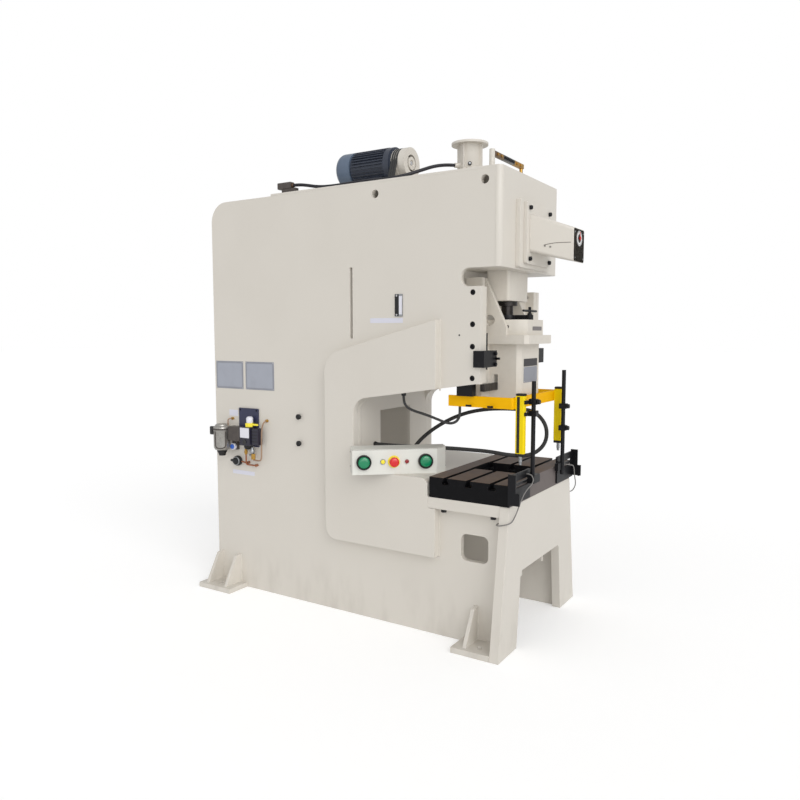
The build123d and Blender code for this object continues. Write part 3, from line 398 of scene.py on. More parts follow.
@dataclass(frozen=True)
class BolsterFinish(Finish):
    """Blackened ends, a greyer front, and a ground top with an oily brown bloom."""

    top_height: float = 0.8566
    front: float = 1.0272
    bloom: Colour = (0.31, 0.235, 0.185)
    bright: Colour = (0.45, 0.385, 0.335)
    front_tone: Colour = (0.42, 0.39, 0.38)

    def build(self, graph: Graph) -> None:
        """Mix the ends, the front and the top by their place.

        Args:
            graph: Empty node tree of the material.
        """
        main, second = self.tones()
        top = graph.axis(2).above(self.top_height)
        front = (0 - graph.axis(1)).above(self.front)
        blotch = graph.noise(7.0, 6.0, roughness=0.65).ramp(0.35, 0.7)
        lines = graph.noise(45.0, 3.0, (0.5, 18.0, 1.0))
        rub = graph.noise(24.0, 5.0, roughness=0.65).ramp(0.55, 0.8)
        face = graph.mix(blotch * 0.8 + lines * 0.2, linear(self.bloom), linear(self.bright))
        flank = graph.mix(front, graph.mix(rub * 0.5, main, second), linear(self.front_tone))
        colour = graph.mix(top, flank, face)
        rough = top * (blotch * 0.15 - 0.08) + (lines * 0.15 + self.roughness)
        graph.surface({
            "Base Color": colour, "Roughness": rough, "Metallic": self.metallic,
            "Normal": graph.bump(lines, 0.15, 0.0005), "Specular IOR Level": self.specular})


CREAM = Finish("cream_enamel", (0.835, 0.814, 0.778), Pattern.ENAMEL, 0.42, coat=0.1,
               second=(0.81, 0.788, 0.75), soil=0.22)
CREAM_CAST = Finish("cream_enamel_on_casting", (0.835, 0.812, 0.772), Pattern.CASTING, 0.46,
                    second=(0.808, 0.783, 0.74), relief=0.6)
WELD = Finish("cream_enamel_on_weld", (0.82, 0.798, 0.762), Pattern.CASTING, 0.45,
              second=(0.79, 0.765, 0.725), scale=1.6, relief=2.2)
# Painted shade: a dark grey that stands for the shade in the seams of the cam box and the control box.
SEAM_SHADE = Finish("shadowed_seam", (0.47, 0.45, 0.42), Pattern.ENAMEL, 0.6, second=(0.38, 0.36, 0.34))
PAINTED_SCREW = Finish("painted_screw", (0.56, 0.545, 0.52), Pattern.ENAMEL, 0.45,
                       second=(0.45, 0.43, 0.41))
BOLSTER = BolsterFinish("oiled_bolster_steel", (0.04, 0.04, 0.05), Pattern.BLACKENED, 0.42, 0.0,
                        second=(0.1, 0.1, 0.115), specular=0.15)
BLACK_STEEL = Finish("blackened_steel", (0.085, 0.085, 0.1), Pattern.BLACKENED, 0.4, 0.5,
                     second=(0.22, 0.215, 0.22))
STEEL = Finish("machined_steel", (0.66, 0.655, 0.645), Pattern.BRUSHED, 0.34, 1.0,
               second=(0.5, 0.48, 0.45))
OILY_STEEL = Finish("oiled_steel", (0.25, 0.235, 0.23), Pattern.OILED, 0.34, 0.8,
                    second=(0.13, 0.115, 0.105))
GEAR_IRON = Finish("oiled_gear_iron", (0.4, 0.39, 0.38), Pattern.OILED, 0.4, 0.85,
                   second=(0.22, 0.19, 0.16))
BRONZE = Finish("bearing_bronze", (0.72, 0.53, 0.3), Pattern.OILED, 0.35, 1.0, second=(0.5, 0.34, 0.18))
BRONZE_DARK = Finish("dark_brass", (0.56, 0.45, 0.31), Pattern.OILED, 0.38, 0.7, second=(0.38, 0.28, 0.2))
MOTOR_BLUE = Finish("motor_enamel", (0.21, 0.235, 0.29), Pattern.CASTING, 0.4,
                    second=(0.16, 0.18, 0.225), coat=0.15, relief=0.7)
COWL_BLUE = Finish("motor_cowl_enamel", (0.36, 0.42, 0.5), Pattern.ENAMEL, 0.38,
                   second=(0.31, 0.36, 0.43), coat=0.2, scale=6.0)
GUARD_YELLOW = Finish("guard_enamel", (0.95, 0.715, 0.0), Pattern.ENAMEL, 0.5, second=(0.89, 0.65, 0.0),
                      scale=4.0, specular=0.12)
COLUMN_YELLOW = Finish("column_enamel", (0.94, 0.83, 0.02), Pattern.ENAMEL, 0.45,
                       second=(0.91, 0.78, 0.01), scale=6.0, specular=0.2)
BLACK_PLASTIC = Finish("matt_black_plastic", (0.06, 0.06, 0.065), Pattern.MOULDED, 0.5,
                       second=(0.1, 0.1, 0.1))
NAVY_PLASTIC = Finish("navy_black_plastic", (0.13, 0.125, 0.19), Pattern.MOULDED, 0.36, coat=0.3,
                      second=(0.08, 0.08, 0.13))
GLOSS_BLACK = Finish("gloss_black_plastic", (0.05, 0.05, 0.06), Pattern.MOULDED, 0.22, coat=0.5,
                     second=(0.09, 0.09, 0.1))
UNIT_GREY = Finish("dark_grey_casting", (0.33, 0.305, 0.29), Pattern.CASTING, 0.42, 0.2,
                   second=(0.24, 0.22, 0.21))
POINTER_RED = Finish("pointer_enamel", (0.78, 0.08, 0.06), Pattern.ENAMEL, 0.35, scale=20.0)
BOX_GREY = Finish("box_powder_coat", (0.86, 0.858, 0.83), Pattern.ENAMEL, 0.48,
                  second=(0.83, 0.828, 0.8), scale=5.0, relief=1.6)
GREEN = Finish("green_button", (0.0, 0.52, 0.34), Pattern.MOULDED, 0.22, coat=0.6,
               second=(0.0, 0.45, 0.3))
RED = Finish("red_button", (0.85, 0.06, 0.09), Pattern.MOULDED, 0.22, coat=0.6, second=(0.76, 0.04, 0.07))
DARK_RED = Finish("dark_red_button", (0.55, 0.03, 0.09), Pattern.MOULDED, 0.25, coat=0.5)
YELLOW = Finish("yellow_plastic", (0.94, 0.8, 0.16), Pattern.MOULDED, 0.25, coat=0.5)
BLUE_KNOB = Finish("blue_knob", (0.1, 0.34, 0.72), Pattern.MOULDED, 0.25, coat=0.5)
RUBBER = Finish("black_rubber", (0.055, 0.055, 0.06), Pattern.RUBBER, 0.6, second=(0.16, 0.155, 0.15))
NAVY_HOSE = Finish("navy_black_hose", (0.09, 0.085, 0.12), Pattern.RUBBER, 0.5, second=(0.17, 0.16, 0.2))
GREY_CABLE = Finish("grey_cable_sheath", (0.5, 0.49, 0.48), Pattern.MOULDED, 0.45,
                    second=(0.42, 0.41, 0.4))
ALUMINIUM = Finish("cast_aluminium", (0.68, 0.69, 0.70), Pattern.CASTING, 0.38, 0.9,
                   second=(0.56, 0.57, 0.58), relief=0.5)
BOWL = Finish("turned_aluminium_bowl", (0.7, 0.69, 0.67), Pattern.CASTING, 0.3, 0.75,
              second=(0.55, 0.54, 0.52), relief=0.3)
PLATE = Finish("bare_plate", (0.6, 0.61, 0.645), Pattern.BRUSHED, 0.42, 0.35, second=(0.52, 0.53, 0.56))
PLATE_PALE = Finish("pale_plate_field", (0.66, 0.675, 0.715), Pattern.BRUSHED, 0.45, 0.2,
                    second=(0.6, 0.61, 0.65))
PLATE_GREY = Finish("grey_plate", (0.5, 0.48, 0.48), Pattern.BRUSHED, 0.42, 0.3,
                    second=(0.42, 0.41, 0.41))
PLATE_DARK = Finish("dark_plate", (0.2, 0.19, 0.2), Pattern.BRUSHED, 0.42, 0.2, second=(0.15, 0.14, 0.15))
PLATE_BLUE = Finish("navy_back_plate", (0.16, 0.17, 0.29), Pattern.ENAMEL, 0.35, coat=0.3, scale=8.0,
                    second=(0.11, 0.12, 0.2))
LABEL_WHITE = Finish("white_plastic", (0.88, 0.88, 0.91), Pattern.MOULDED, 0.4, coat=0.3,
                     second=(0.82, 0.82, 0.86))
LABEL_BLUISH = Finish("bare_film_label", (0.845, 0.845, 0.89), Pattern.MOULDED, 0.35, coat=0.3,
                      second=(0.81, 0.81, 0.86))
COPPER = Finish("copper_pipe", (0.74, 0.5, 0.37), Pattern.OILED, 0.34, 0.8, second=(0.6, 0.38, 0.27))
TAN_PIPE = Finish("varnished_copper_pipe", (0.7, 0.58, 0.49), Pattern.OILED, 0.34, 0.6,
                  second=(0.58, 0.46, 0.38))
BRASS = Finish("brass_fitting", (0.78, 0.62, 0.33), Pattern.BRUSHED, 0.3, 1.0, second=(0.62, 0.46, 0.22))
DIAL_WHITE = Finish("dial_white", (0.93, 0.93, 0.92), Pattern.MOULDED, 0.4, coat=0.4,
                    second=(0.89, 0.89, 0.88))
DARK_STRIP = Finish("dark_strip", (0.03, 0.03, 0.035), Pattern.MOULDED, 0.3, coat=0.2,
                    second=(0.05, 0.05, 0.06))

NODE_FINISHES: dict[Finish, tuple[str, ...]] = {
    CREAM: ("crown_walls", "inner_plates", "rear_cover", "motor_pulley"),
    BLACK_STEEL: ("curtain_posts", "lock_screw"),
    OILY_STEEL: ("adjusting_screw", "crankshaft"),
    GEAR_IRON: ("main_gear", "pinion_shaft", "flywheel", "clutch_brake"),
    BRONZE: ("bearing_bushes",),
    MOTOR_BLUE: ("motor_body",),
    COWL_BLUE: ("motor_cowl",),
    BLACK_PLASTIC: ("clamp_knob_left", "clamp_knob_right_low", "clamp_knob_right_high"),
    POINTER_RED: ("pointer",),
    RUBBER: ("v_belts",),
}


def smooth_line(name: str, points: Sequence[Sequence[float]], radius: float, steps: int,
                sides: int) -> bpy.types.Curve:
    """Draw a round bar along a smooth spline.

    Args:
        name: Name of the curve.
        points: Its control points, whose ends it reaches.
        radius: Radius of the bar.
        steps: Steps between two control points.
        sides: Steps round a quarter of the bar.

    Returns:
        The curve, with closed ends.
    """
    curve = bpy.data.curves.new(name, "CURVE")
    curve.dimensions = "3D"
    spline = curve.splines.new("NURBS")
    spline.points.add(len(points) - 1)
    for point, where in zip(spline.points, points):
        point.co = (*where, 1.0)
    spline.order_u = 3
    spline.use_endpoint_u = True
    spline.resolution_u = steps
    curve.bevel_depth = radius
    curve.bevel_resolution = sides
    curve.use_fill_caps = True
    return curve


def add_object(name: str, data: bpy.types.ID) -> bpy.types.Object:
    """Put new data into the scene, at the origin.

    Args:
        name: Name of the object.
        data: Mesh, curve, lamp or camera.

    Returns:
        The object.
    """
    made = bpy.data.objects.new(name, data)
    bpy.context.scene.collection.objects.link(made)
    return made


def add_piece(name: str, data: Union[bpy.types.Mesh, bpy.types.Curve], finishes: Sequence[Finish],
              ride: str = "frame", replaces: Sequence[str] = ()) -> bpy.types.Object:
    """Show finished data as a piece of the press.

    Args:
        name: Name of the object.
        data: Its mesh or curve.
        finishes: Finishes in the order of the material numbers.
        ride: Body that carries the piece.
        replaces: CAD nodes that the piece stands for.

    Returns:
        The object.
    """
    for finish in finishes:
        data.materials.append(finish.material())
    piece = add_object(name, data)
    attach(piece, ride)
    if replaces:
        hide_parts(*replaces)
    return piece


@dataclass
class Cord:
    """A hose or cable that runs between two fittings on the press."""

    node: str
    route: Sequence[Point]
    diameter: float
    length: float
    finish: Finish
    slot: str
    stiffness: str = "medium"

    def build(self) -> None:
        name = f"{self.node}_line"
        curve = smooth_line(name, [place(point) for point in self.route], self.diameter * MM / 2, 10, 5)
        piece = add_piece(name, curve, [self.finish], replaces=(self.node,))
        LOG.info("cord %s, %d points", name, len(self.route))


def lay_cords() -> None:
    """Lay the hoses and the cables that the press carries."""
    hose = [(-219.8, 663.8, 925), (-159, 715.7, 925), (-65, 742, 960), (30, 712, 1020), (122, 645, 1080),
            (198, 555, 1125), (246, 450, 1146), (262, 352, 1153), (262, 258, 1155), (262, 158, 1153),
            (262, 80, 1076), (260, 80, 970), (225, 149, 898), (140, 248, 902), (60, 335, 928),
            (-22, 430, 942), (-90, 528, 952), (-155, 632, 958), (-205, 738, 960), (-224, 830, 960),
            (-224, 916, 960)]
    cable = [(-368, 645, 1262), (-368, 645, 1231), (-362, 630, 1201), (-350, 594, 1182),
             (-336, 532, 1166), (-325, 462, 1143), (-317, 402, 1122), (-313, 360, 1131),
             (-313, 338, 1160), (-313, 336.5, 1189), (-313, 336.5, 1217)]
    top = [(-320, 1437, 2448), (-320, 1392, 2448), (-324, 1325, 2437), (-331, 1240, 2418),
           (-343, 1130, 2409.05), (-352, 1010, 2409.05), (-356, 880, 2409.05), (-342, 765, 2409.05),
           (-300, 680, 2424), (-235, 625, 2455), (-165, 580, 2486), (-100.4, 537.2, 2500),
           (-66.4, 507.7, 2500)]
    left = [(-246, -10, 888), (-246, -27, 888), (-248, -42, 879), (-252, -50, 860), (-262, -44, 838),
            (-285, -34, 822), (-308, -27, 804), (-326, -23, 784), (-342, -19, 760), (-357, -15, 735),
            (-376, -11, 706), (-402, -9, 685), (-438, -12, 676), (-458, 4, 671), (-461, 24, 665),
            (-459, 44, 660), (-446, 62, 657), (-428, 69, 655.5), (-406, 71.5, 655), (-384, 70, 655)]
    right = [(306, -10, 852), (306, -27, 852), (313, -43, 850), (331, -53, 846), (358, -48, 834),
             (388, -42, 812), (408, -37, 784), (436, -31, 754), (464, -26, 730), (480, -21, 704),
             (482, -13, 682), (474, -4, 667), (458, 4, 664), (446.5, 8, 664)]
    for cord in (Cord("control_hose", hose, 22.0, 2.176, RUBBER, "black_rubber"),
                 Cord("guard_cable", cable, 14.0, 0.443, RUBBER, "black_rubber"),
                 Cord("top_hose", top, 18.0, 1.074, NAVY_HOSE, "black_rubber"),
                 Cord("wire_left", left, 6.0, 0.479, GREY_CABLE, "grey_cable"),
                 Cord("wire_right", right, 6.0, 0.337, GREY_CABLE, "grey_cable")):
        cord.build()


def dress_nodes() -> None:
    """Give every CAD node that still shows its procedural material."""
    for finish, names in NODE_FINISHES.items():
        for name in names:
            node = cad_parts[name]
            node.data.materials.clear()
            node.data.materials.append(finish.material())
            LOG.info("node %s in %s", name, finish.name)


def shade(form: bmesh.types.BMesh, least: float = 0.014, steepest: float = 0.72,
          wider: float = 2.5) -> None:
    """Shade roundings and curved walls smooth, and leave flats flat and steep edges sharp.

    A flat is known by its neighbours: across soft edges it has only strips much narrower than itself.

    Args:
        form: Closed mesh.
        least: Least angle of a soft edge, in radians.
        steepest: Angle from which an edge is sharp.
        wider: How many times as wide as a strip beside it a flat is.
    """
    form.normal_update()
    widths = {face: face.calc_area() / max(e.calc_length() for e in face.edges) for face in form.faces}
    angles = {edge: edge.calc_face_angle() if edge.is_manifold else math.pi for edge in form.edges}
    for edge, angle in angles.items():
        edge.smooth = angle < steepest
    for face in form.faces:
        soft = [edge for edge in face.edges if least < angles[edge] < steepest]
        near = [other for edge in soft for other in edge.link_faces if other != face]
        face.smooth = any(widths[face] < wider * widths[other] for other in near)


def ease(form: bmesh.types.BMesh, width: float, steep: float = 30.0) -> None:
    """Round the edges that turn by more than an angle.

    Args:
        form: Mesh to bevel.
        width: Width of the rounding, nought for none.
        steep: Least angle between the faces of an edge, in degrees.
    """
    form.normal_update()
    edges = [e for e in form.edges if e.is_manifold and e.calc_face_angle() > math.radians(steep)]
    if width and edges:
        bmesh.ops.bevel(form, geom=edges, offset=width, offset_type="OFFSET", segments=2, profile=0.5,
                        affect="EDGES", clamp_overlap=True, material=-1)


class Shape:
    """A piece in the making: parts from mesh operators in millimetres, each in its own finish."""

    def __init__(self, name: str, local: Optional[Matrix] = None) -> None:
        """Start an empty piece.

        Args:
            name: Name of the finished object.
            local: Placement of the piece's own axes among X, depth and height.
        """
        self.name = name
        self.bm = bmesh.new()
        self.finishes: list[Finish] = []
        base = Matrix.Scale(MM, 4) @ Matrix.Translation((0.0, -BED_FRONT, 0.0))
        self.matrix = base @ local if local else base

    def join(self, part: bmesh.types.BMesh, finish: Finish) -> None:
        """Take over a finished part and free it.

        Args:
            part: Closed mesh in millimetres.
            finish: Finish of all its faces.
        """
        if finish not in self.finishes:
            self.finishes.append(finish)
        bmesh.ops.recalc_face_normals(part, faces=part.faces[:])
        for face in part.faces:
            face.material_index = self.finishes.index(finish)
        shade(part)
        bmesh.ops.transform(part, matrix=self.matrix, verts=part.verts[:])
        mesh = bpy.data.meshes.new("part")
        part.to_mesh(mesh)
        part.free()
        self.bm.from_mesh(mesh)
        bpy.data.meshes.remove(mesh)

    def block(self, x: Span, depth: Span, z: Span, finish: Finish, rounding: float = 0.0) -> None:
        """Add a box from its ranges in X, depth and height, with eased edges.

        Args:
            x: Its reach in X.
            depth: Its reach in depth.
            z: Its reach in height.
            finish: Finish of the box.
            rounding: Rounding of its edges.
        """
        part = bmesh.new()
        bmesh.ops.create_cube(part, size=1.0)
        bmesh.ops.scale(part, vec=(x[1] - x[0], depth[1] - depth[0], z[1] - z[0]), verts=part.verts[:])
        middle = ((x[0] + x[1]) / 2, (depth[0] + depth[1]) / 2, (z[0] + z[1]) / 2)
        bmesh.ops.translate(part, vec=middle, verts=part.verts[:])
        ease(part, rounding)
        self.join(part, finish)

    @staticmethod
    def _turn(part: bmesh.types.BMesh, seat: Point, way: Aim) -> None:
        """Point a part that was made along +Z in a direction and set it on its seat.

        Args:
            part: Mesh to turn.
            seat: Where its origin goes.
            way: Where its Z axis points.
        """
        direction = Vector(way.value if isinstance(way, Way) else way)
        turn = Vector((0.0, 0.0, 1.0)).rotation_difference(direction).to_matrix().to_4x4()
        bmesh.ops.transform(part, matrix=Matrix.Translation(seat) @ turn, verts=part.verts[:])

    def turned(self, seat: Point, way: Aim, profile: Sequence[Span], finish: Finish,
               steps: int = 32) -> None:
        """Add a turned form.

        Args:
            seat: Point on its axis from which its lengths count.
            way: Direction of its axis.
            profile: Radius and length of each corner, in order.
            finish: Finish of the form.
            steps: Sides of the round.
        """
        part = bmesh.new()
        verts = [part.verts.new((radius, 0.0, length)) for radius, length in profile]
        edges = [part.edges.new(pair) for pair in zip(verts, verts[1:])]
        bmesh.ops.spin(part, geom=verts + edges, cent=(0, 0, 0), axis=(0, 0, 1), angle=2 * math.pi,
                       steps=steps, use_merge=True)
        bmesh.ops.remove_doubles(part, verts=part.verts[:], dist=0.001)
        self._turn(part, seat, way)
        self.join(part, finish)

    def round(self, seat: Point, way: Aim, radius: float, length: float, finish: Finish,
              rim: float = 0.6, tip: Optional[float] = None) -> None:
        """Add a cylinder with eased rims, or a cone where the tip's radius is given.

        Args:
            seat: Middle of the end that it stands on.
            way: Direction of its axis.
            radius: Radius at the seat.
            length: Length along the axis.
            finish: Finish of the form.
            rim: Width of the eased rims.
            tip: Radius at the far end of a cone.
        """
        end = radius if tip is None else tip
        self.turned(seat, way, ((0.0, 0.0), (radius - rim, 0.0), (radius, rim), (end, length - rim),
                                (end - rim, length), (0.0, length)), finish)

    def ring(self, seat: Point, way: Aim, outer: float, inner: float, length: float, finish: Finish,
             rim: float = 0.8) -> None:
        """Add a ring with eased rims.

        Args:
            seat: Middle of the end that it stands on.
            way: Direction of its axis.
            outer: Outer radius.
            inner: Inner radius.
            length: Length along the axis.
            finish: Finish of the ring.
            rim: Width of the eased rims.
        """
        self.turned(seat, way, ((inner, 0.0), (outer, 0.0), (outer, length - rim), (outer - rim, length),
                                (inner + rim, length), (inner, length - rim), (inner, 0.0)), finish)

    def hexagon(self, seat: Point, way: Aim, radius: float, height: float, finish: Finish) -> None:
        """Add a hexagonal head or nut with chamfered corners.

        Args:
            seat: Middle of the end that it stands on.
            way: Direction of its axis.
            radius: Radius over the corners.
            height: Height of the head.
            finish: Finish of the head.
        """
        part = bmesh.new()
        bmesh.ops.create_cone(part, cap_ends=True, segments=6, radius1=radius, radius2=radius,
                              depth=height)
        bmesh.ops.translate(part, vec=(0.0, 0.0, height / 2), verts=part.verts[:])
        ease(part, min(radius, height) * 0.1)
        self._turn(part, seat, way)
        self.join(part, finish)

    def socket(self, seat: Point, way: Aim, radius: float, height: float, finish: Finish) -> None:
        """Add a socket screw's head, with its hexagonal recess.

        Args:
            seat: Middle of the end that it stands on.
            way: Direction of its axis.
            radius: Radius of the head.
            height: Height of the head.
            finish: Finish of the head.
        """
        part = bmesh.new()
        lift = Matrix.Translation((0.0, 0.0, height))
        rim = bmesh.ops.create_circle(part, segments=24, radius=radius * 0.9, matrix=lift)["verts"]
        key = bmesh.ops.create_circle(part, segments=6, radius=radius * 0.56, matrix=lift)["verts"]
        rim_edges = list({e for v in rim for e in v.link_edges})
        key_edges = list({e for v in key for e in v.link_edges})
        bmesh.ops.bridge_loops(part, edges=rim_edges + key_edges)
        for grow, drop in ((1 / 0.9, height * 0.1), (1.0, height * 0.9)):
            made = bmesh.ops.extrude_edge_only(part, edges=rim_edges)["geom"]
            fresh = [g for g in made if isinstance(g, bmesh.types.BMVert)]
            rim_edges = [g for g in made if isinstance(g, bmesh.types.BMEdge) and g.is_boundary]
            bmesh.ops.scale(part, vec=(grow, grow, 1.0), verts=fresh)
            bmesh.ops.translate(part, vec=(0.0, 0.0, -drop), verts=fresh)
        made = bmesh.ops.extrude_edge_only(part, edges=key_edges)["geom"]
        bmesh.ops.translate(part, vec=(0.0, 0.0, -height * 0.6),
                            verts=[g for g in made if isinstance(g, bmesh.types.BMVert)])
        bmesh.ops.holes_fill(part, edges=part.edges[:], sides=0)
        self._turn(part, seat, way)
        self.join(part, finish)

    def prism(self, way: Way, points: Sequence[Span], low: float, high: float, finish: Finish,
              rounding: float = 0.0) -> None:
        """Add a plate cut to an outline.

        Args:
            way: UP for outlines of (X, depth), BACK for (X, height), RIGHT for (depth, height).
            points: Corners of the outline.
            low: Where the plate starts along its own direction.
            high: Where it ends.
            finish: Finish of the plate.
            rounding: Rounding of its edges.
        """
        part = bmesh.new()
        corner = {Way.UP: lambda a, b: (a, b, low), Way.BACK: lambda a, b: (a, low, b),
                  Way.RIGHT: lambda a, b: (low, a, b)}[way]
        face = part.faces.new([part.verts.new(corner(a, b)) for a, b in points])
        made = bmesh.ops.extrude_face_region(part, geom=[face])["geom"]
        bmesh.ops.translate(part, vec=Vector(way.value) * (high - low),
                            verts=[g for g in made if isinstance(g, bmesh.types.BMVert)])
        bmesh.ops.recalc_face_normals(part, faces=part.faces[:])
        ease(part, rounding)
        self.join(part, finish)

    def tube(self, route: Sequence[Point], radius: float, finish: Finish) -> None:
        """Add a round bar or rigid pipe along a smooth line that its control points draw.

        Args:
            route: Control points of the line.
            radius: Radius of the bar.
            finish: Finish of the bar.
        """
        curve = smooth_line("tube", route, radius, 6, 3)
        source = bpy.data.objects.new("tube", curve)
        mesh = bpy.data.meshes.new_from_object(source)
        part = bmesh.new()
        part.from_mesh(mesh)
        bmesh.ops.remove_doubles(part, verts=part.verts[:], dist=0.01)
        bpy.data.objects.remove(source)
        bpy.data.curves.remove(curve)
        bpy.data.meshes.remove(mesh)
        self.join(part, finish)

    def done(self, ride: str = "frame", replaces: Sequence[str] = ()) -> None:
        """Turn the piece into an object that rides on a body.

        Args:
            ride: Body that carries the piece.
            replaces: CAD nodes that the piece stands for.
        """
        mesh = bpy.data.meshes.new(self.name)
        self.bm.to_mesh(mesh)
        self.bm.free()
        LOG.info("piece %s, %d faces, on %s", self.name, len(mesh.polygons), ride)
        add_piece(self.name, mesh, self.finishes, ride, replaces)


@dataclass(frozen=True)
class EasedForm:
    """A CAD form shown with its edges eased, as flame-cut, welded and cast parts have them."""

    node: str
    finish: Finish
    slot: str
    width: float
    ride: str

    def build(self) -> None:
        """Copy the node's mesh, merge it, ease its edges and put it in the node's place."""
        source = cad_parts[self.node]
        form = bmesh.new()
        form.from_mesh(source.data)
        form.transform(source.matrix_world)
        bmesh.ops.remove_doubles(form, verts=form.verts[:], dist=0.00001)
        bmesh.ops.dissolve_limit(form, angle_limit=math.radians(0.6), verts=form.verts[:],
                                 edges=form.edges[:])
        ease(form, self.width * MM, 36.0)
        for face in form.faces:
            face.material_index = 0
        shade(form)
        mesh = bpy.data.meshes.new(f"{self.node}_form")
        form.to_mesh(mesh)
        form.free()
        LOG.info("form %s, eased by %.1f mm", self.node, self.width)
        add_piece(mesh.name, mesh, [self.finish], self.ride, (self.node,))


EASED_FORMS = tuple(
    EasedForm(node, finish, slot, width, ride)
    for finish, slot, ride, widths in (
        (CREAM, "cream_paint", "frame", {
            "side_plate_left": 1.2, "side_plate_right": 1.2, "throat_braces": 2.5, "bed_front_plate": 2.5,
            "bed_top_plate": 1.5, "feet": 1.8, "crown_front_plate": 1.5, "top_plate": 1.2,
            "front_cover": 2.0, "cam_box": 2.5, "air_reservoir": 1.0, "motor_base": 1.5}),
        (CREAM_CAST, "cream_paint", "frame", {"gibs": 1.5}),
        (CREAM_CAST, "cream_paint", "slide", {"slide": 3.5, "ball_seat_cap": 3.0, "connecting_rod": 2.0}),
        (BOLSTER, "bolster_steel", "frame", {"bolster": 1.5}),
        (GUARD_YELLOW, "guard_yellow", "frame", {"guard_frame": 1.2}),
        (BLACK_STEEL, "black_steel", "frame", {"guard_brackets": 0.8, "knockout_stops": 1.2}),
        (OILY_STEEL, "machined_steel", "knockout_bar", {"knockout_bar": 1.0}),
        (BLACK_STEEL, "black_steel", "slide", {"lock_ring": 1.0}))
    for node, width in widths.items())


@dataclass
class Fasteners:
    """Bolts of the gibs, the cam box base, the bed and the guard brackets."""

    gib_depth: float = 233.0
    gib_heights: Sequence[float] = (1369.0, 1527.0, 1638.0, 1796.0)
    gib_seat: float = 371.0
    bed_depths: Span = (95.0, 375.0)
    bed_reach: float = 409.0
    bed_low: float = 692.0
    base_bolts: Sequence[Span] = ((-134.0, 1970.0), (134.0, 1970.0), (-134.0, 2225.0), (134.0, 2225.0))

    def build(self) -> None:
        """Build the bolt heads as one piece, since they are alike and fixed."""
        shape = Shape("fastener_heads")
        for side, outward in SIDEWAYS.items():
            for height in self.gib_heights:
                seat = (side * self.gib_seat, self.gib_depth, height)
                shape.socket(seat, outward, 13.5, 12.0, BLACK_STEEL)
            for depth in self.bed_depths:
                seat = (side * self.bed_reach, depth, self.bed_low)
                shape.hexagon(seat, Way.DOWN, 15.0, 18.0, BLACK_STEEL)
            shape.hexagon((side * HALF_WIDTH, 70.0, 120.0), outward, 17.0, 18.0, BLACK_STEEL)
        for x, height in self.base_bolts:
            shape.socket((x, 41.0, height), Way.FRONT, 11.0, 13.0, BLACK_STEEL)
        shape.done(replaces=("black_bolts",))
        clamp = Shape("bracket_bolts")
        for height in (811.0, 770.0):
            clamp.hexagon((455.0, -45.0, height), Way.RIGHT, 9.0, 8.0, BLACK_STEEL)
        clamp.done()


@dataclass
class Welds:
    """Painted weld beads where the thick plates meet the side plates."""

    radius: float = 4.5
    foot_radius: float = 3.5
    foot_top: float = 30.5
    brace: Sequence[Span] = ((415.0, 1300.0), (415.0, 1661.0), (1129.0, 1472.5), (1129.0, 430.0),
                             (415.0, 430.0), (415.0, 688.0))
    turns: Sequence[float] = (0.0, 0.0, 130.0, 70.0, 0.0, 0.0)

    def rounded(self, points: Sequence[Span], turns: Sequence[float]) -> list[Span]:
        """Control points of an outline whose corners are rounded by a radius.

        Args:
            points: Corners as (depth, height).
            turns: Radius at each corner, nought for a sharp one.

        Returns:
            Points of a smooth line with a doubled point at each sharp corner.
        """
        route: list[Span] = []
        for index, (point, radius) in enumerate(zip(points, turns)):
            here = Vector(point)
            if radius:
                before = (Vector(points[index - 1]) - here).normalized() * radius
                after = (Vector(points[index + 1]) - here).normalized() * radius
                route += [tuple(here + before), tuple(here), tuple(here + after)]
            else:
                route += [tuple(here), tuple(here)]
        return route

    def build(self) -> None:
        """Lay the beads round the throat braces and up the feet."""
        line = self.rounded(self.brace, self.turns)
        shape = Shape("weld_beads")
        for side in SIDEWAYS:
            x = side * (HALF_WIDTH + 0.5)
            shape.tube([(x, depth, height) for depth, height in line], self.radius, WELD)
            for depth in (186.0, 206.0, 1842.0, 1862.0, 1994.0, 2014.0):
                shape.tube([(x, depth, height) for height in (31.0, 120.0, 205.0)], self.foot_radius, WELD)
            for first, last in ((50.0, 262.0), (1794.0, 2038.0)):
                shape.tube([(x, depth, self.foot_top) for depth in (first, (first + last) / 2, last)],
                           self.foot_radius, WELD)
        shape.done()


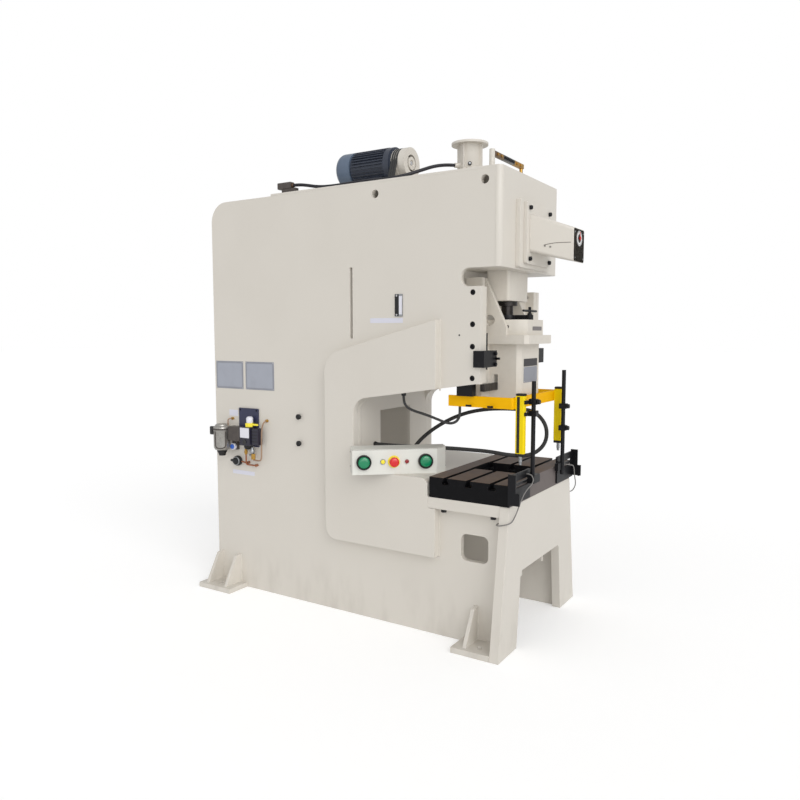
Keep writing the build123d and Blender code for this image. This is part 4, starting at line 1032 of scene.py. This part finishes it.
@dataclass
class AngleIndicator:
    """Black front panel of the cam box with its white dial, ticks and hub."""

    front: float = -171.0
    dial: float = 2071.0
    radius: float = 39.0
    ticks: int = 36
    box_half: float = 133.0
    box_back: float = 41.0
    box_taper: float = 0.25

    def build(self) -> None:
        """Build the panel, the dial and the small screws of the cam box."""
        shape = Shape("angle_indicator")
        outline = ((-74.0, 1970.0), (-62.0, 1958.0), (62.0, 1958.0), (74.0, 1970.0),
                   (74.0, 2101.0), (62.0, 2113.0), (-62.0, 2113.0), (-74.0, 2101.0))
        shape.prism(Way.BACK, outline, self.front, self.front + 5.0, GLOSS_BLACK, 1.2)
        seat = (0.0, self.front, self.dial)
        shape.round(seat, Way.FRONT, self.radius - 2.0, 2.0, DIAL_WHITE)
        shape.ring(seat, Way.FRONT, self.radius, self.radius - 4.0, 3.0, STEEL)
        for index in range(self.ticks):
            self.tick(shape, index)
        shape.round((0.0, self.front - 2.0, self.dial), Way.FRONT, 22.0, 0.5, BLACK_PLASTIC, 0.2)
        for x in (-60.0, 60.0):
            for height in (1972.0, 2099.0):
                shape.socket((x, self.front, height), Way.FRONT, 4.0, 2.0, STEEL)
        shape.done(replaces=("indicator_panel",))
        self.box_screws()

    def tick(self, shape: Shape, index: int) -> None:
        """Add one tick of the dial, longer at every third.

        Args:
            shape: Piece that takes the tick.
            index: Number of the tick, counted from the top.
        """
        angle = 2 * math.pi * index / self.ticks
        long = 8.0 if index % 3 == 0 else 4.5
        outer = self.radius - 5.0
        across, up = math.sin(angle), math.cos(angle)
        points = []
        for reach, half in ((outer - long, -0.5), (outer - long, 0.5), (outer, 0.5), (outer, -0.5)):
            points.append((reach * across + half * up, self.dial + reach * up - half * across))
        shape.prism(Way.BACK, points, self.front - 2.3, self.front - 1.9, BLACK_PLASTIC)

    def box_screws(self) -> None:
        """Add a dark line of painted shade along the seam of the cam box's sides, and the screws beneath
        it.
        """
        shape = Shape("cam_box_trim")
        for side in SIDEWAYS:
            seam = ((-28.0, 2036.0), (-60.0, 2043.0), (-105.0, 2046.0), (-158.0, 2045.0))
            # Painted shade: a dark tube along the seam, where the joint lies in shade.
            shape.tube([self.on_wall(side, depth, height, 0.6) for depth, height in seam], 1.9, SEAM_SHADE)
            outward = tuple(Vector((side, -self.box_taper, 0.0)).normalized())
            for depth, height in ((-34.0, 2032.0), (-60.0, 2026.0)):
                shape.socket(self.on_wall(side, depth, height, 0.3), outward, 5.0, 2.6, PAINTED_SCREW)
        shape.done()

    def on_wall(self, side: float, depth: float, height: float, sunk: float) -> Point:
        """Point just inside the cam box's tapered side wall."""
        return (side * (self.box_half - self.box_taper * (self.box_back - depth) - sunk), depth, height)


@dataclass
class SlideTrim:
    """Screws of the ball seat cap and bare plates of the slide."""

    cap_top: float = 1664.0
    cap_front: float = 54.0
    slide_front: float = 79.0

    def build(self) -> None:
        """Build the parts that travel with the slide."""
        shape = Shape("slide_trim")
        for x in (-95.0, 95.0):
            for depth in (94.0, 265.0):
                shape.socket((x, depth, self.cap_top - 15.5), Way.UP, 9.2, 11.0, BLACK_STEEL)
        for side, outward in SIDEWAYS.items():
            shape.socket((side * 142.8, 152.0, 1627.0), outward, 9.0, 5.0, BLACK_STEEL)
        for x, front, height, finish in (((-41.0, 84.0), self.cap_front, (1608.0, 1629.0), PLATE_GREY),
                                         ((-92.0, 92.0), self.slide_front, (1335.0, 1417.0), PLATE),
                                         ((-92.0, 92.0), self.slide_front, (1420.0, 1460.0), PLATE_DARK)):
            shape.block(x, (front - 1.4, front), height, finish, 0.5)
        for x in (-86.0, 86.0):
            for height in (1341.0, 1411.0):
                shape.round((x, self.slide_front - 1.2, height), Way.FRONT, 2.6, 1.6, STEEL)
        shape.done(ride="slide")


@dataclass
class LightCurtain:
    """Yellow light curtain columns with caps, window strips and connectors."""

    x: float = 271.0
    half: float = 15.0
    depth: Span = (-8.0, 38.0)
    height: Span = (992.0, 1283.0)

    def build(self) -> None:
        """Build both columns as one fixed piece."""
        shape = Shape("light_curtain")
        for side in SIDEWAYS:
            self.column(shape, side)
        shape.done(replaces=("curtain_columns",))

    def column(self, shape: Shape, side: float) -> None:
        """Build one column: ribbed extrusion, outer window strip, caps and connector.

        Args:
            shape: Piece that takes the column.
            side: -1 for left, 1 for right.
        """
        x = side * self.x
        front, rear = self.depth
        low, high = self.height
        outline = ((x - self.half, rear), (x - self.half, front + 6), (x - self.half + 6, front),
                   (x - 2.0, front), (x - 1.4, front + 1.6), (x + 1.4, front + 1.6), (x + 2.0, front),
                   (x + self.half - 6, front), (x + self.half, front + 6), (x + self.half, rear))
        shape.prism(Way.UP, outline, low, high, COLUMN_YELLOW, 0.4)
        edge = x + side * self.half
        strip = (min(edge, edge + side * 0.8), max(edge, edge + side * 0.8))
        shape.block(strip, (16.0, 31.0), (low + 4.0, high - 4.0), DARK_STRIP)
        shape.block((x - 16.5, x + 16.5), (front - 1.5, rear), (high, high + 12.0), BLACK_PLASTIC, 4.0)
        shape.block((x - self.half, x + self.half), (front, rear), (low - 14.0, low), BLACK_PLASTIC, 2.0)
        middle = (front + rear) / 2
        plug = ((0.0, 0.0), (9.0, 0.0), (9.0, 9.0), (7.5, 10.0), (7.5, 13.0), (9.0, 14.0), (9.0, 30.0),
                (7.0, 32.0), (7.0, 43.0), (6.0, 44.0), (0.0, 44.0))
        shape.turned((x, middle, low - 14.0), Way.DOWN, plug, ALUMINIUM)


@dataclass
class ControlStand:
    """Two-hand control box with its palm buttons, emergency stop and push buttons."""

    corner: Point = (-572.0, 839.0, 845.0)
    turn: float = -49.5
    length: float = 517.0
    bevel: float = 60.0
    height: float = 135.0
    depth: float = 140.0
    palms: Span = (62.0, 394.0)
    start: float = 164.0
    stop: float = 293.0
    estop: float = 223.0
    palm_head: Span = (31.0, 24.0)
    estop_head: Span = (26.0, 32.0)
    gland: Span = (362.0, 80.0)

    def local(self) -> Matrix:
        """Placement of the box's own axes: X along its front, Y towards its back."""
        return Matrix.Translation(self.corner) @ Matrix.Rotation(math.radians(self.turn), 4, "Z")

    def outline(self, grow: float) -> list[Span]:
        """Plan of the box, larger by a step all round.

        Args:
            grow: Step outwards, below nought for inwards.

        Returns:
            Corners of the plan in the box's own axes.
        """
        end = self.length + grow
        shift = grow * math.tan(math.pi / 8)
        return [(-grow, -grow), (self.length - self.bevel + shift, -grow), (end, self.bevel - shift),
                (end, self.depth + grow), (-grow, self.depth + grow)]

    def build(self) -> None:
        """Build the box and its buttons."""
        self.box()
        for name, x in zip(("palm_button_left", "palm_button_right"), self.palms):
            self.mushroom(name, x, self.palm_head, GREEN)
        self.mushroom("estop_button", self.estop, self.estop_head, RED)
        self.push("start_button", self.start, YELLOW)
        self.push("stop_button", self.stop, DARK_RED)

    def box(self) -> None:
        """Build the sheet-metal box, its lid with a band of painted shade beneath it, the collars, the
        rings and the gland.
        """
        middle = self.height / 2
        shape = Shape("control_stand", self.local())
        shape.prism(Way.UP, self.outline(-0.6), 0.0, self.height - 3.4, BOX_GREY, 2.2)
        # Painted shade: a dark band in the gap under the lid.
        shape.prism(Way.UP, self.outline(-1.8), self.height - 3.6, self.height - 2.4, SEAM_SHADE)
        shape.prism(Way.UP, self.outline(0.0), self.height - 2.6, self.height, BOX_GREY, 0.9)
        shape.prism(Way.UP, self.outline(0.0), 0.0, 9.0, BOX_GREY, 0.6)
        for x in self.palms:
            shape.ring((x, 0.0, middle), Way.FRONT, 40.0, 32.4, 18.0, BLACK_PLASTIC, 2.2)
            shape.round((x, 0.5, middle), Way.FRONT, 33.0, 2.0, BLACK_PLASTIC, 0.3)
        shape.ring((self.estop, 0.0, middle), Way.FRONT, 33.0, 10.5, 3.0, YELLOW, 0.9)
        for x, finish in ((self.start, ALUMINIUM), (self.stop, BOX_GREY)):
            shape.ring((x, 0.0, middle), Way.FRONT, 15.0, 11.4, 4.0, finish, 1.0)
        for height in (28.0, 107.0):
            shape.round((self.length, self.bevel + 9.0, height), Way.RIGHT, 4.0, 1.4, BLACK_STEEL, 0.4)
            shape.round((0.0, self.depth - 20.0, height), Way.LEFT, 4.0, 1.4, BLACK_STEEL, 0.4)
        x, height = self.gland
        shape.hexagon((x, self.depth, height), Way.BACK, 16.0, 6.0, BLACK_PLASTIC)
        nut = ((0.0, 0.0), (14.0, 0.0), (14.0, 4.0), (11.5, 8.0), (0.0, 8.0))
        shape.turned((x, self.depth + 6.0, height), Way.BACK, nut, BLACK_PLASTIC)
        shape.done(replaces=("control_box",))

    def mushroom(self, node: str, x: float, head: Span, finish: Finish) -> None:
        """Build a domed push button on its stem.

        Args:
            node: CAD node and body of the button.
            x: Its place along the front.
            head: Radius and reach of the head.
            finish: Finish of the button.
        """
        shape = Shape(f"{node}_head", self.local())
        radius, reach = head
        thick = 14.0 if reach < 30.0 else 18.0
        base = reach - thick
        dome = [(radius * share, reach - drop) for share, drop in (
            (0.0, 0.0), (0.35, 0.3), (0.66, 1.5), (0.87, 3.6), (0.97, 6.2), (1.0, 9.0))]
        stem = [(radius, base + 1.0), (radius - 1.5, base), (8.0, base), (8.0, -14.0), (0.0, -14.0)]
        shape.turned((x, 0.0, self.height / 2), Way.FRONT, dome + stem, finish, 40)
        shape.done(ride=node, replaces=(node,))

    def push(self, node: str, x: float, finish: Finish) -> None:
        """Build a small flush push button.

        Args:
            node: CAD node and body of the button.
            x: Its place along the front.
            finish: Finish of the button.
        """
        shape = Shape(f"{node}_cap", self.local())
        outline = ((0.0, 8.0), (6.0, 7.8), (9.5, 7.0), (11.0, 5.2), (11.0, -16.0), (0.0, -16.0))
        shape.turned((x, 0.0, self.height / 2), Way.FRONT, outline, finish)
        shape.done(ride=node, replaces=(node,))


@dataclass
class AirUnit:
    """Air service unit on the left side plate: filter, regulator, valves and thin pipes."""

    bowl: Point = (-441.0, 1932.0, 869.0)
    frame_radius: float = 51.5
    plate: tuple[Span, Span] = ((1671.0, 1830.0), (900.0, 1135.0))

    def build(self) -> None:
        """Build the unit as one fixed piece."""
        shape = Shape("air_service_unit")
        self.regulator(shape)
        self.filter(shape)
        self.valves(shape)
        self.pipes(shape)
        shape.done(replaces=("air_unit",))

    def regulator(self, shape: Shape) -> None:
        """Add the back plate, the regulator with its bare label, its lever and its cap.

        Args:
            shape: Piece that takes the parts.
        """
        depth, height = self.plate
        wall = -HALF_WIDTH
        shape.block((wall - 10, wall), depth, height, PLATE_BLUE, 1.5)
        for d in (depth[0] + 12, depth[1] - 12):
            for z in (height[0] + 12, height[1] - 12):
                shape.socket((wall - 10, d, z), Way.LEFT, 5.0, 3.0, BLACK_STEEL)
        shape.block((wall - 66, wall - 10), (1690, 1774), (912, 1026), NAVY_PLASTIC, 5.0)
        shape.block((wall - 67.4, wall - 66), (1694, 1768), (960, 1021), LABEL_WHITE, 0.4)
        shape.round((wall - 66, 1731, 936), Way.LEFT, 15.0, 4.0, GLOSS_BLACK, 1.0)
        shape.block((wall - 54, wall - 10), (1636, 1690), (918, 1020), NAVY_PLASTIC, 5.0)
        for z in (940, 960, 980, 1000):
            shape.block((wall - 55.5, wall - 54), (1641, 1685), (z - 2, z + 2), BLACK_PLASTIC, 0.5)
        shape.hexagon((wall - 38, 1716, 1026), Way.UP, 26.0, 24.0, YELLOW)
        shape.block((wall - 44, wall - 32), (1648, 1700), (1036, 1047), YELLOW, 2.0)
        cap = ((0.0, 0.0), (19.0, 0.0), (21.0, 3.0), (21.0, 28.0), (17.0, 36.0), (9.0, 39.5), (0.0, 40.0))
        shape.turned((wall - 38, 1713, 1050), Way.UP, cap, LABEL_WHITE)
        foot = ((0.0, 0.0), (24.0, 0.0), (24.0, 12.0), (18.0, 22.0), (10.0, 26.0), (0.0, 26.0))
        shape.turned((wall - 38, 1731, 912), Way.DOWN, foot, BLACK_PLASTIC)

    def filter(self, shape: Shape) -> None:
        """Add the filter head and its bowl with the window, the catch, the collar and the drain.

        Args:
            shape: Piece that takes the parts.
        """
        x, depth, low = self.bowl
        shape.block((x - 12, -HALF_WIDTH - 12), (1774, 1872), (934, 1022), UNIT_GREY, 6.0)
        shape.block((x - 6, -HALF_WIDTH), (1790, 1830), (950, 1004), UNIT_GREY, 2.0)
        outline = ((0.0, 0.0), (34.0, 0.0), (44.0, 5.0), (50.0, 16.0), (51.0, 30.0), (51.0, 118.0),
                   (53.0, 121.0), (53.0, 142.0), (49.0, 149.0), (40.0, 154.0), (38.0, 160.0),
                   (22.0, 166.0), (0.0, 168.0))
        shape.turned(self.bowl, Way.UP, outline, BOWL)
        drain = ((0.0, -2.0), (34.0, -2.0), (30.0, 10.0), (24.0, 20.0), (20.0, 34.0), (0.0, 36.0))
        shape.turned(self.bowl, Way.DOWN, drain, BLACK_PLASTIC)
        self.window_frame(shape)
        shape.block((x - 44, x - 22), (depth + 34, depth + 62), (966, 1018), GLOSS_BLACK, 5.0)
        shape.ring((x, depth, low + 128.0), Way.UP, 55.0, 50.0, 10.0, UNIT_GREY, 1.5)

    def window_frame(self, shape: Shape) -> None:
        """Add the frame of the bowl's window, bent round the bowl.

        Args:
            shape: Piece that takes the parts.
        """
        outward = Vector((-0.85, -0.53, 0.0))
        sideways = Vector((0.53, -0.85, 0.0))
        middle = Vector((self.bowl[0], self.bowl[1], 0.0))
        route = []
        for across, height in ((-0.62, 990.0), (-0.62, 930.0), (-0.62, 895.0), (-0.3, 884.0), (0.3, 884.0),
                               (0.62, 895.0), (0.62, 930.0), (0.62, 990.0)):
            radial = outward * math.sqrt(1.0 - across * across) + sideways * across
            route.append(tuple(middle + radial * self.frame_radius + Vector((0.0, 0.0, height))))
        shape.tube(route, 3.6, UNIT_GREY)

    def valves(self, shape: Shape) -> None:
        """Add the blue knob, the round valve, the brass fittings and the hexagons.

        Args:
            shape: Piece that takes the parts.
        """
        wall = -HALF_WIDTH
        shape.block((wall - 22, wall), (1838, 1882), (872, 934), UNIT_GREY, 3.0)
        shape.round((wall - 22, 1861, 893), Way.LEFT, 21.0, 17.0, LABEL_WHITE, 2.0)
        knob = ((0.0, 0.0), (15.0, 0.0), (15.0, 7.0), (12.0, 10.0), (0.0, 11.0))
        shape.turned((wall - 38, 1861, 893), Way.LEFT, knob, BLUE_KNOB)
        valve = ((0.0, 0.0), (22.0, 0.0), (30.0, 6.0), (32.0, 14.0), (30.0, 26.0), (22.0, 31.0),
                 (22.0, 38.0), (14.0, 42.0), (0.0, 43.0))
        shape.turned((wall, 1842, 803), Way.LEFT, valve, BLACK_PLASTIC)
        shape.ring((wall - 22, 1842, 803), Way.LEFT, 27.0, 14.0, 12.0, ALUMINIUM, 1.5)
        shape.round((wall - 20, 1868, 802), Way.BACK, 12.0, 26.0, BLACK_PLASTIC, 1.0, 7.0)
        shape.round((wall - 28, 1758, 852), Way.UP, 9.0, 34.0, BRASS, 1.0)
        shape.hexagon((wall - 28, 1758, 862), Way.UP, 12.0, 12.0, BRASS)
        cone = ((0.0, 0.0), (9.0, 0.0), (15.0, 8.0), (16.0, 18.0), (12.0, 28.0), (7.0, 40.0), (0.0, 60.0))
        shape.turned((wall - 28, 1706, 858), Way.UP, cone, ALUMINIUM)
        shape.hexagon((wall - 28, 1698, 826), Way.UP, 14.0, 34.0, BRASS)
        shape.round((wall - 28, 1730, 850), Way.FRONT, 6.0, 24.0, ALUMINIUM, 0.6)
        for depth, height, radius in ((1603.0, 1066.0, 10.0), (1888.0, 1064.0, 9.0)):
            shape.hexagon((wall, depth, height), Way.LEFT, radius, 13.0, BRASS)
        for depth, height in ((1758.0, 798.0), (1690.0, 787.0)):
            shape.hexagon((wall, depth, height), Way.LEFT, 9.0, 20.0, COPPER)

    def pipes(self, shape: Shape) -> None:
        """Add the bent copper and steel pipes.

        Args:
            shape: Piece that takes the parts.
        """
        x = -HALF_WIDTH - 28
        shape.tube([(x, 1758, 854), (x, 1758, 830), (x, 1758, 806), (x, 1757, 792), (x + 2, 1744, 788),
                    (x + 6, 1720, 787), (x + 8, 1690, 787), (x + 8, 1684, 787)], 5.0, COPPER)
        shape.tube([(x + 6, 1800, 803), (x + 6, 1780, 800), (x + 6, 1758, 797)], 5.0, COPPER)
        shape.tube([(x, 1696, 822), (x - 1, 1664, 820), (x - 1, 1636, 824), (x - 2, 1629, 846),
                    (x - 2, 1628, 930), (x - 3, 1624, 1004), (x - 4, 1614, 1046), (x + 4, 1604, 1064),
                    (x + 16, 1603, 1066), (x + 22, 1603, 1066)], 4.6, TAN_PIPE)
        shape.tube([(x - 2, 1902, 1000), (x - 2, 1905, 1034), (x - 2, 1905, 1056), (x + 2, 1898, 1064),
                    (x + 16, 1889, 1064), (x + 22, 1888, 1064)], 4.0, TAN_PIPE)


@dataclass
class SidePlates:
    """Bare plates, labels, oil sight gauge and knobs on the left side plate."""

    plates: Sequence[Span] = ((1545.0, 1775.0), (1795.0, 2025.0))
    plate_height: Span = (1250.0, 1420.0)
    labels: Sequence[tuple[Span, Span]] = (((1716.0, 1900.0), (716.0, 741.0)),
                                           ((1846.0, 1920.0), (1080.0, 1118.0)),
                                           ((640.0, 848.0), (1648.0, 1674.0)))

    def build(self) -> None:
        """Build the small fittings of the side as one fixed piece."""
        shape = Shape("side_plate_fittings")
        wall = -HALF_WIDTH
        low, high = self.plate_height
        for depth in self.plates:
            shape.block((wall - 1.6, wall), depth, (low, high), PLATE, 0.5)
            field = (depth[0] + 12, depth[1] - 12)
            shape.block((wall - 1.9, wall - 1.4), field, (low + 12, high - 12), PLATE_PALE, 0.2)
            for d in (depth[0] + 6, depth[1] - 6):
                for z in (low + 6, high - 6):
                    shape.round((wall - 1.6, d, z), Way.LEFT, 2.6, 1.4, STEEL, 0.5)
        for depth, height in self.labels:
            shape.block((wall - 0.6, wall), depth, height, LABEL_BLUISH, 0.1)
        self.gauge(shape)
        knob = ((0.0, 0.0), (8.0, 0.0), (8.0, 6.0), (15.0, 8.0), (16.0, 12.0), (16.0, 19.0), (13.0, 22.0),
                (0.0, 22.0))
        for height in (1107.0, 950.0):
            shape.turned((wall, 1350.0, height), Way.LEFT, knob, BLACK_PLASTIC)
        shape.round((wall, 306.0, 1584.0), Way.LEFT, 4.5, 0.8, BLACK_STEEL, 0.3)
        shape.done(replaces=("side_fittings",))

    def gauge(self, shape: Shape) -> None:
        """Add the oil sight gauge: body, dark glass, white scale and end screws.

        Args:
            shape: Piece that takes the parts.
        """
        wall = -HALF_WIDTH
        shape.block((wall - 6, wall), (640.0, 688.0), (1681.0, 1799.0), ALUMINIUM, 1.5)
        shape.block((wall - 9, wall - 5), (663.0, 686.0), (1683.0, 1797.0), DARK_STRIP, 1.2)
        shape.block((wall - 6.6, wall - 5.8), (643.0, 661.0), (1692.0, 1788.0), LABEL_WHITE, 0.2)
        for height in (1690.0, 1790.0):
            shape.round((wall - 9, 674.0, height), Way.LEFT, 5.0, 2.0, STEEL, 0.5)


@dataclass
class TopUnits:
    """Oil distributor, reservoir fitting, hose block, glands and the motor's small parts."""

    top: float = 2400.0
    motor: float = 2561.0
    bar: Span = (158.0, 180.0)
    cowl_end: float = 1301.4
    cowl_screws: float = 78.0

    def build(self) -> None:
        """Build the parts on the top plate."""
        self.distributor()
        self.glands()
        self.motor_parts()

    def distributor(self) -> None:
        """Build the oil distributor: cream post, brass and black blocks, and outlet nipples."""
        shape = Shape("oil_distributor_block")
        low, high = self.top + 62, self.top + 86
        middle = (low + high) / 2
        for x, finish in (((-300, -196), BRONZE_DARK), ((-196, -62), GLOSS_BLACK), ((-62, 60), BRASS)):
            shape.block(x, self.bar, (low, high), finish, 2.0)
        for x in range(-182, -70, 18):
            shape.hexagon((x, self.bar[0], middle), Way.FRONT, 6.0, 4.0, BLACK_STEEL)
        for x in (-270.0, -226.0, -32.0, 16.0):
            shape.hexagon((x, self.bar[0], middle), Way.FRONT, 7.0, 5.0, BRASS)
        shape.round((-314, 169, self.top), Way.UP, 14.0, 92.0, CREAM, 1.5)
        shape.round((46, 169, self.top), Way.UP, 9.0, 62.5, BRASS, 0.8)
        shape.done(replaces=("oil_distributor",))
        fitting = Shape("reservoir_fitting")
        seat = (-53.0, 423.0, self.top + 101.0)
        outward = tuple(Vector((-0.894, -0.447, 0.0)))
        fitting.round(seat, outward, 10.0, 14.0, BLACK_PLASTIC, 1.2)
        fitting.round(tuple(Vector(seat) + Vector(outward) * 13.5), outward, 6.0, 5.0, ALUMINIUM, 0.8)
        fitting.done()

    def glands(self) -> None:
        """Build the cable glands and the block that the top hose screws into."""
        shape = Shape("glands")
        shape.hexagon((-224.0, 930.0, 960.0), Way.FRONT, 16.0, 8.0, BLACK_PLASTIC)
        shape.round((-224.0, 922.5, 960.0), Way.FRONT, 14.0, 6.5, BLACK_PLASTIC, 1.5)
        shape.round((-368.0, 645.0, 1300.0), Way.DOWN, 12.5, 20.0, BLACK_PLASTIC, 1.0)
        shape.hexagon((-368.0, 645.0, 1281.0), Way.DOWN, 13.0, 19.0, BLACK_PLASTIC)
        shape.block((-338, -302), (1437, 1539), (self.top + 31, self.top + 68), UNIT_GREY, 4.0)
        shape.block((-335, -305), (1403, 1508), (self.top, self.top + 32), UNIT_GREY, 3.0)
        shape.hexagon((-320.0, 1437.5, self.top + 48), Way.FRONT, 14.0, 12.0, BRONZE_DARK)
        shape.done(replaces=("cable_glands",))

    def motor_parts(self) -> None:
        """Build the fan grille, the screws of the cowl, and a black ring of painted shade in the pulley's
        recess.
        """
        shape = Shape("motor_trim")
        z = self.motor
        for radius in (24.0, 40.0, 56.0):
            shape.ring((0.0, self.cowl_end, z), Way.BACK, radius + 5.0, radius, 0.9, BLACK_PLASTIC, 0.2)
        shape.round((0.0, self.cowl_end, z), Way.BACK, 10.0, 1.2, BLACK_PLASTIC, 0.3)
        for angle in (45, 135, 225, 315):
            turn = math.radians(angle)
            seat = (self.cowl_screws * math.cos(turn), 1290.0, z + self.cowl_screws * math.sin(turn))
            shape.socket(seat, Way.BACK, 4.0, 3.0, BLACK_STEEL)
        shape.done()
        recess = Shape("pulley_recess_shade")
        # Painted shade: a thin black ring on the cream pulley's recessed web, where the recess lies in
        # shade.
        recess.ring((0.0, 843.8, z), Way.FRONT, 47.8, 36.2, 1.2, BLACK_STEEL, 0.2)
        recess.round((0.0, 826.5, z), Way.FRONT, 12.0, 5.0, STEEL, 1.0)
        recess.done(ride="motor_rotor")


@dataclass(frozen=True)
class Lamp:
    """A soft sun lamp that shines along its turned -Z axis."""

    name: str
    strength: float
    turn: Point
    spread: float
    shadow: bool = True

    def build(self) -> None:
        """Add the lamp to the scene."""
        data = bpy.data.lights.new(self.name, "SUN")
        data.energy = self.strength
        data.use_shadow = self.shadow
        data.angle = math.radians(self.spread)
        add_object(self.name, data).rotation_euler = [math.radians(a) for a in self.turn]


@dataclass
class Studio:
    """White studio: floor, soft lamps and the camera at the photograph's place."""

    camera_place: Point = (-3.649, -2.426, 1.600)
    camera_turn: Point = (84.66, 0.0, -57.8)
    lens: float = 32.74
    sensor: float = 36.0
    farthest: float = 200.0
    sky: float = 0.6
    floor_tone: Colour = (0.86, 0.86, 0.86)
    floor_glow: float = 0.3
    lamps: Sequence[Lamp] = (Lamp("key_lamp", 0.85, (56.0, 0.0, -30.0), 40.0),
                             Lamp("fill_lamp", 0.1, (60.0, 0.0, -110.0), 60.0),
                             Lamp("front_lamp", 1.05, (83.0, 0.0, -42.0), 60.0, False))

    def build(self) -> None:
        """Set up the floor, world, lamps, camera and view transform."""
        self.floor()
        self.world()
        for lamp in self.lamps:
            lamp.build()
        data = bpy.data.cameras.new("camera")
        data.lens = self.lens
        data.sensor_width = self.sensor
        data.clip_end = self.farthest
        camera = add_object("camera", data)
        camera.location = self.camera_place
        camera.rotation_euler = [math.radians(a) for a in self.camera_turn]
        bpy.context.scene.camera = camera
        bpy.context.scene.view_settings.view_transform = "Standard"

    def world(self) -> None:
        """White for the camera and through glass, a plain soft sky for the light."""
        world = bpy.data.worlds.new("studio")
        bpy.context.scene.world = world
        graph = Graph(world)
        direct = graph.node("ShaderNodeLightPath", output="Is Camera Ray")
        through = graph.node("ShaderNodeLightPath", output="Is Transmission Ray")
        level = direct.most(through) * (1.0 - self.sky) + self.sky
        back = graph.node("ShaderNodeBackground", None, {"Color": WHITE, "Strength": level})
        graph.node("ShaderNodeOutputWorld", None, {"Surface": back})

    def floor(self) -> None:
        """Lay the pale floor, whose own glow towards the camera takes it to white outside shadows."""
        form = bmesh.new()
        bmesh.ops.create_grid(form, x_segments=1, y_segments=1, size=FLOOR_EXTENT)
        mesh = bpy.data.meshes.new("floor")
        form.to_mesh(mesh)
        form.free()
        surface = bpy.data.materials.new("studio_floor")
        graph = Graph(surface)
        seen = graph.node("ShaderNodeLightPath", output="Is Camera Ray")
        glow = graph.node("ShaderNodeEmission", None, {"Color": WHITE, "Strength": seen * self.floor_glow})
        matt = graph.node("ShaderNodeBsdfDiffuse", None, {"Color": (*self.floor_tone, 1.0)})
        both = graph.node("ShaderNodeAddShader", None, {0: glow, 1: matt})
        graph.node("ShaderNodeOutputMaterial", None, {"Surface": both})
        mesh.materials.append(surface)
        add_object("floor", mesh)


def write_size() -> None:
    """Bring the scene's evaluated state up to date."""
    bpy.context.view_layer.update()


def main() -> None:
    """Build the looks of the press, piece by piece."""
    logging.basicConfig(level=logging.INFO, format="%(message)s")
    Studio().build()
    lay_cords()
    dress_nodes()
    for form in EASED_FORMS:
        form.build()
    for unit in (Fasteners(), Welds(), AngleIndicator(), SlideTrim(), LightCurtain(), ControlStand(),
                 AirUnit(), SidePlates(), TopUnits()):
        unit.build()
    write_size()


if __name__ == "__main__":
    main()
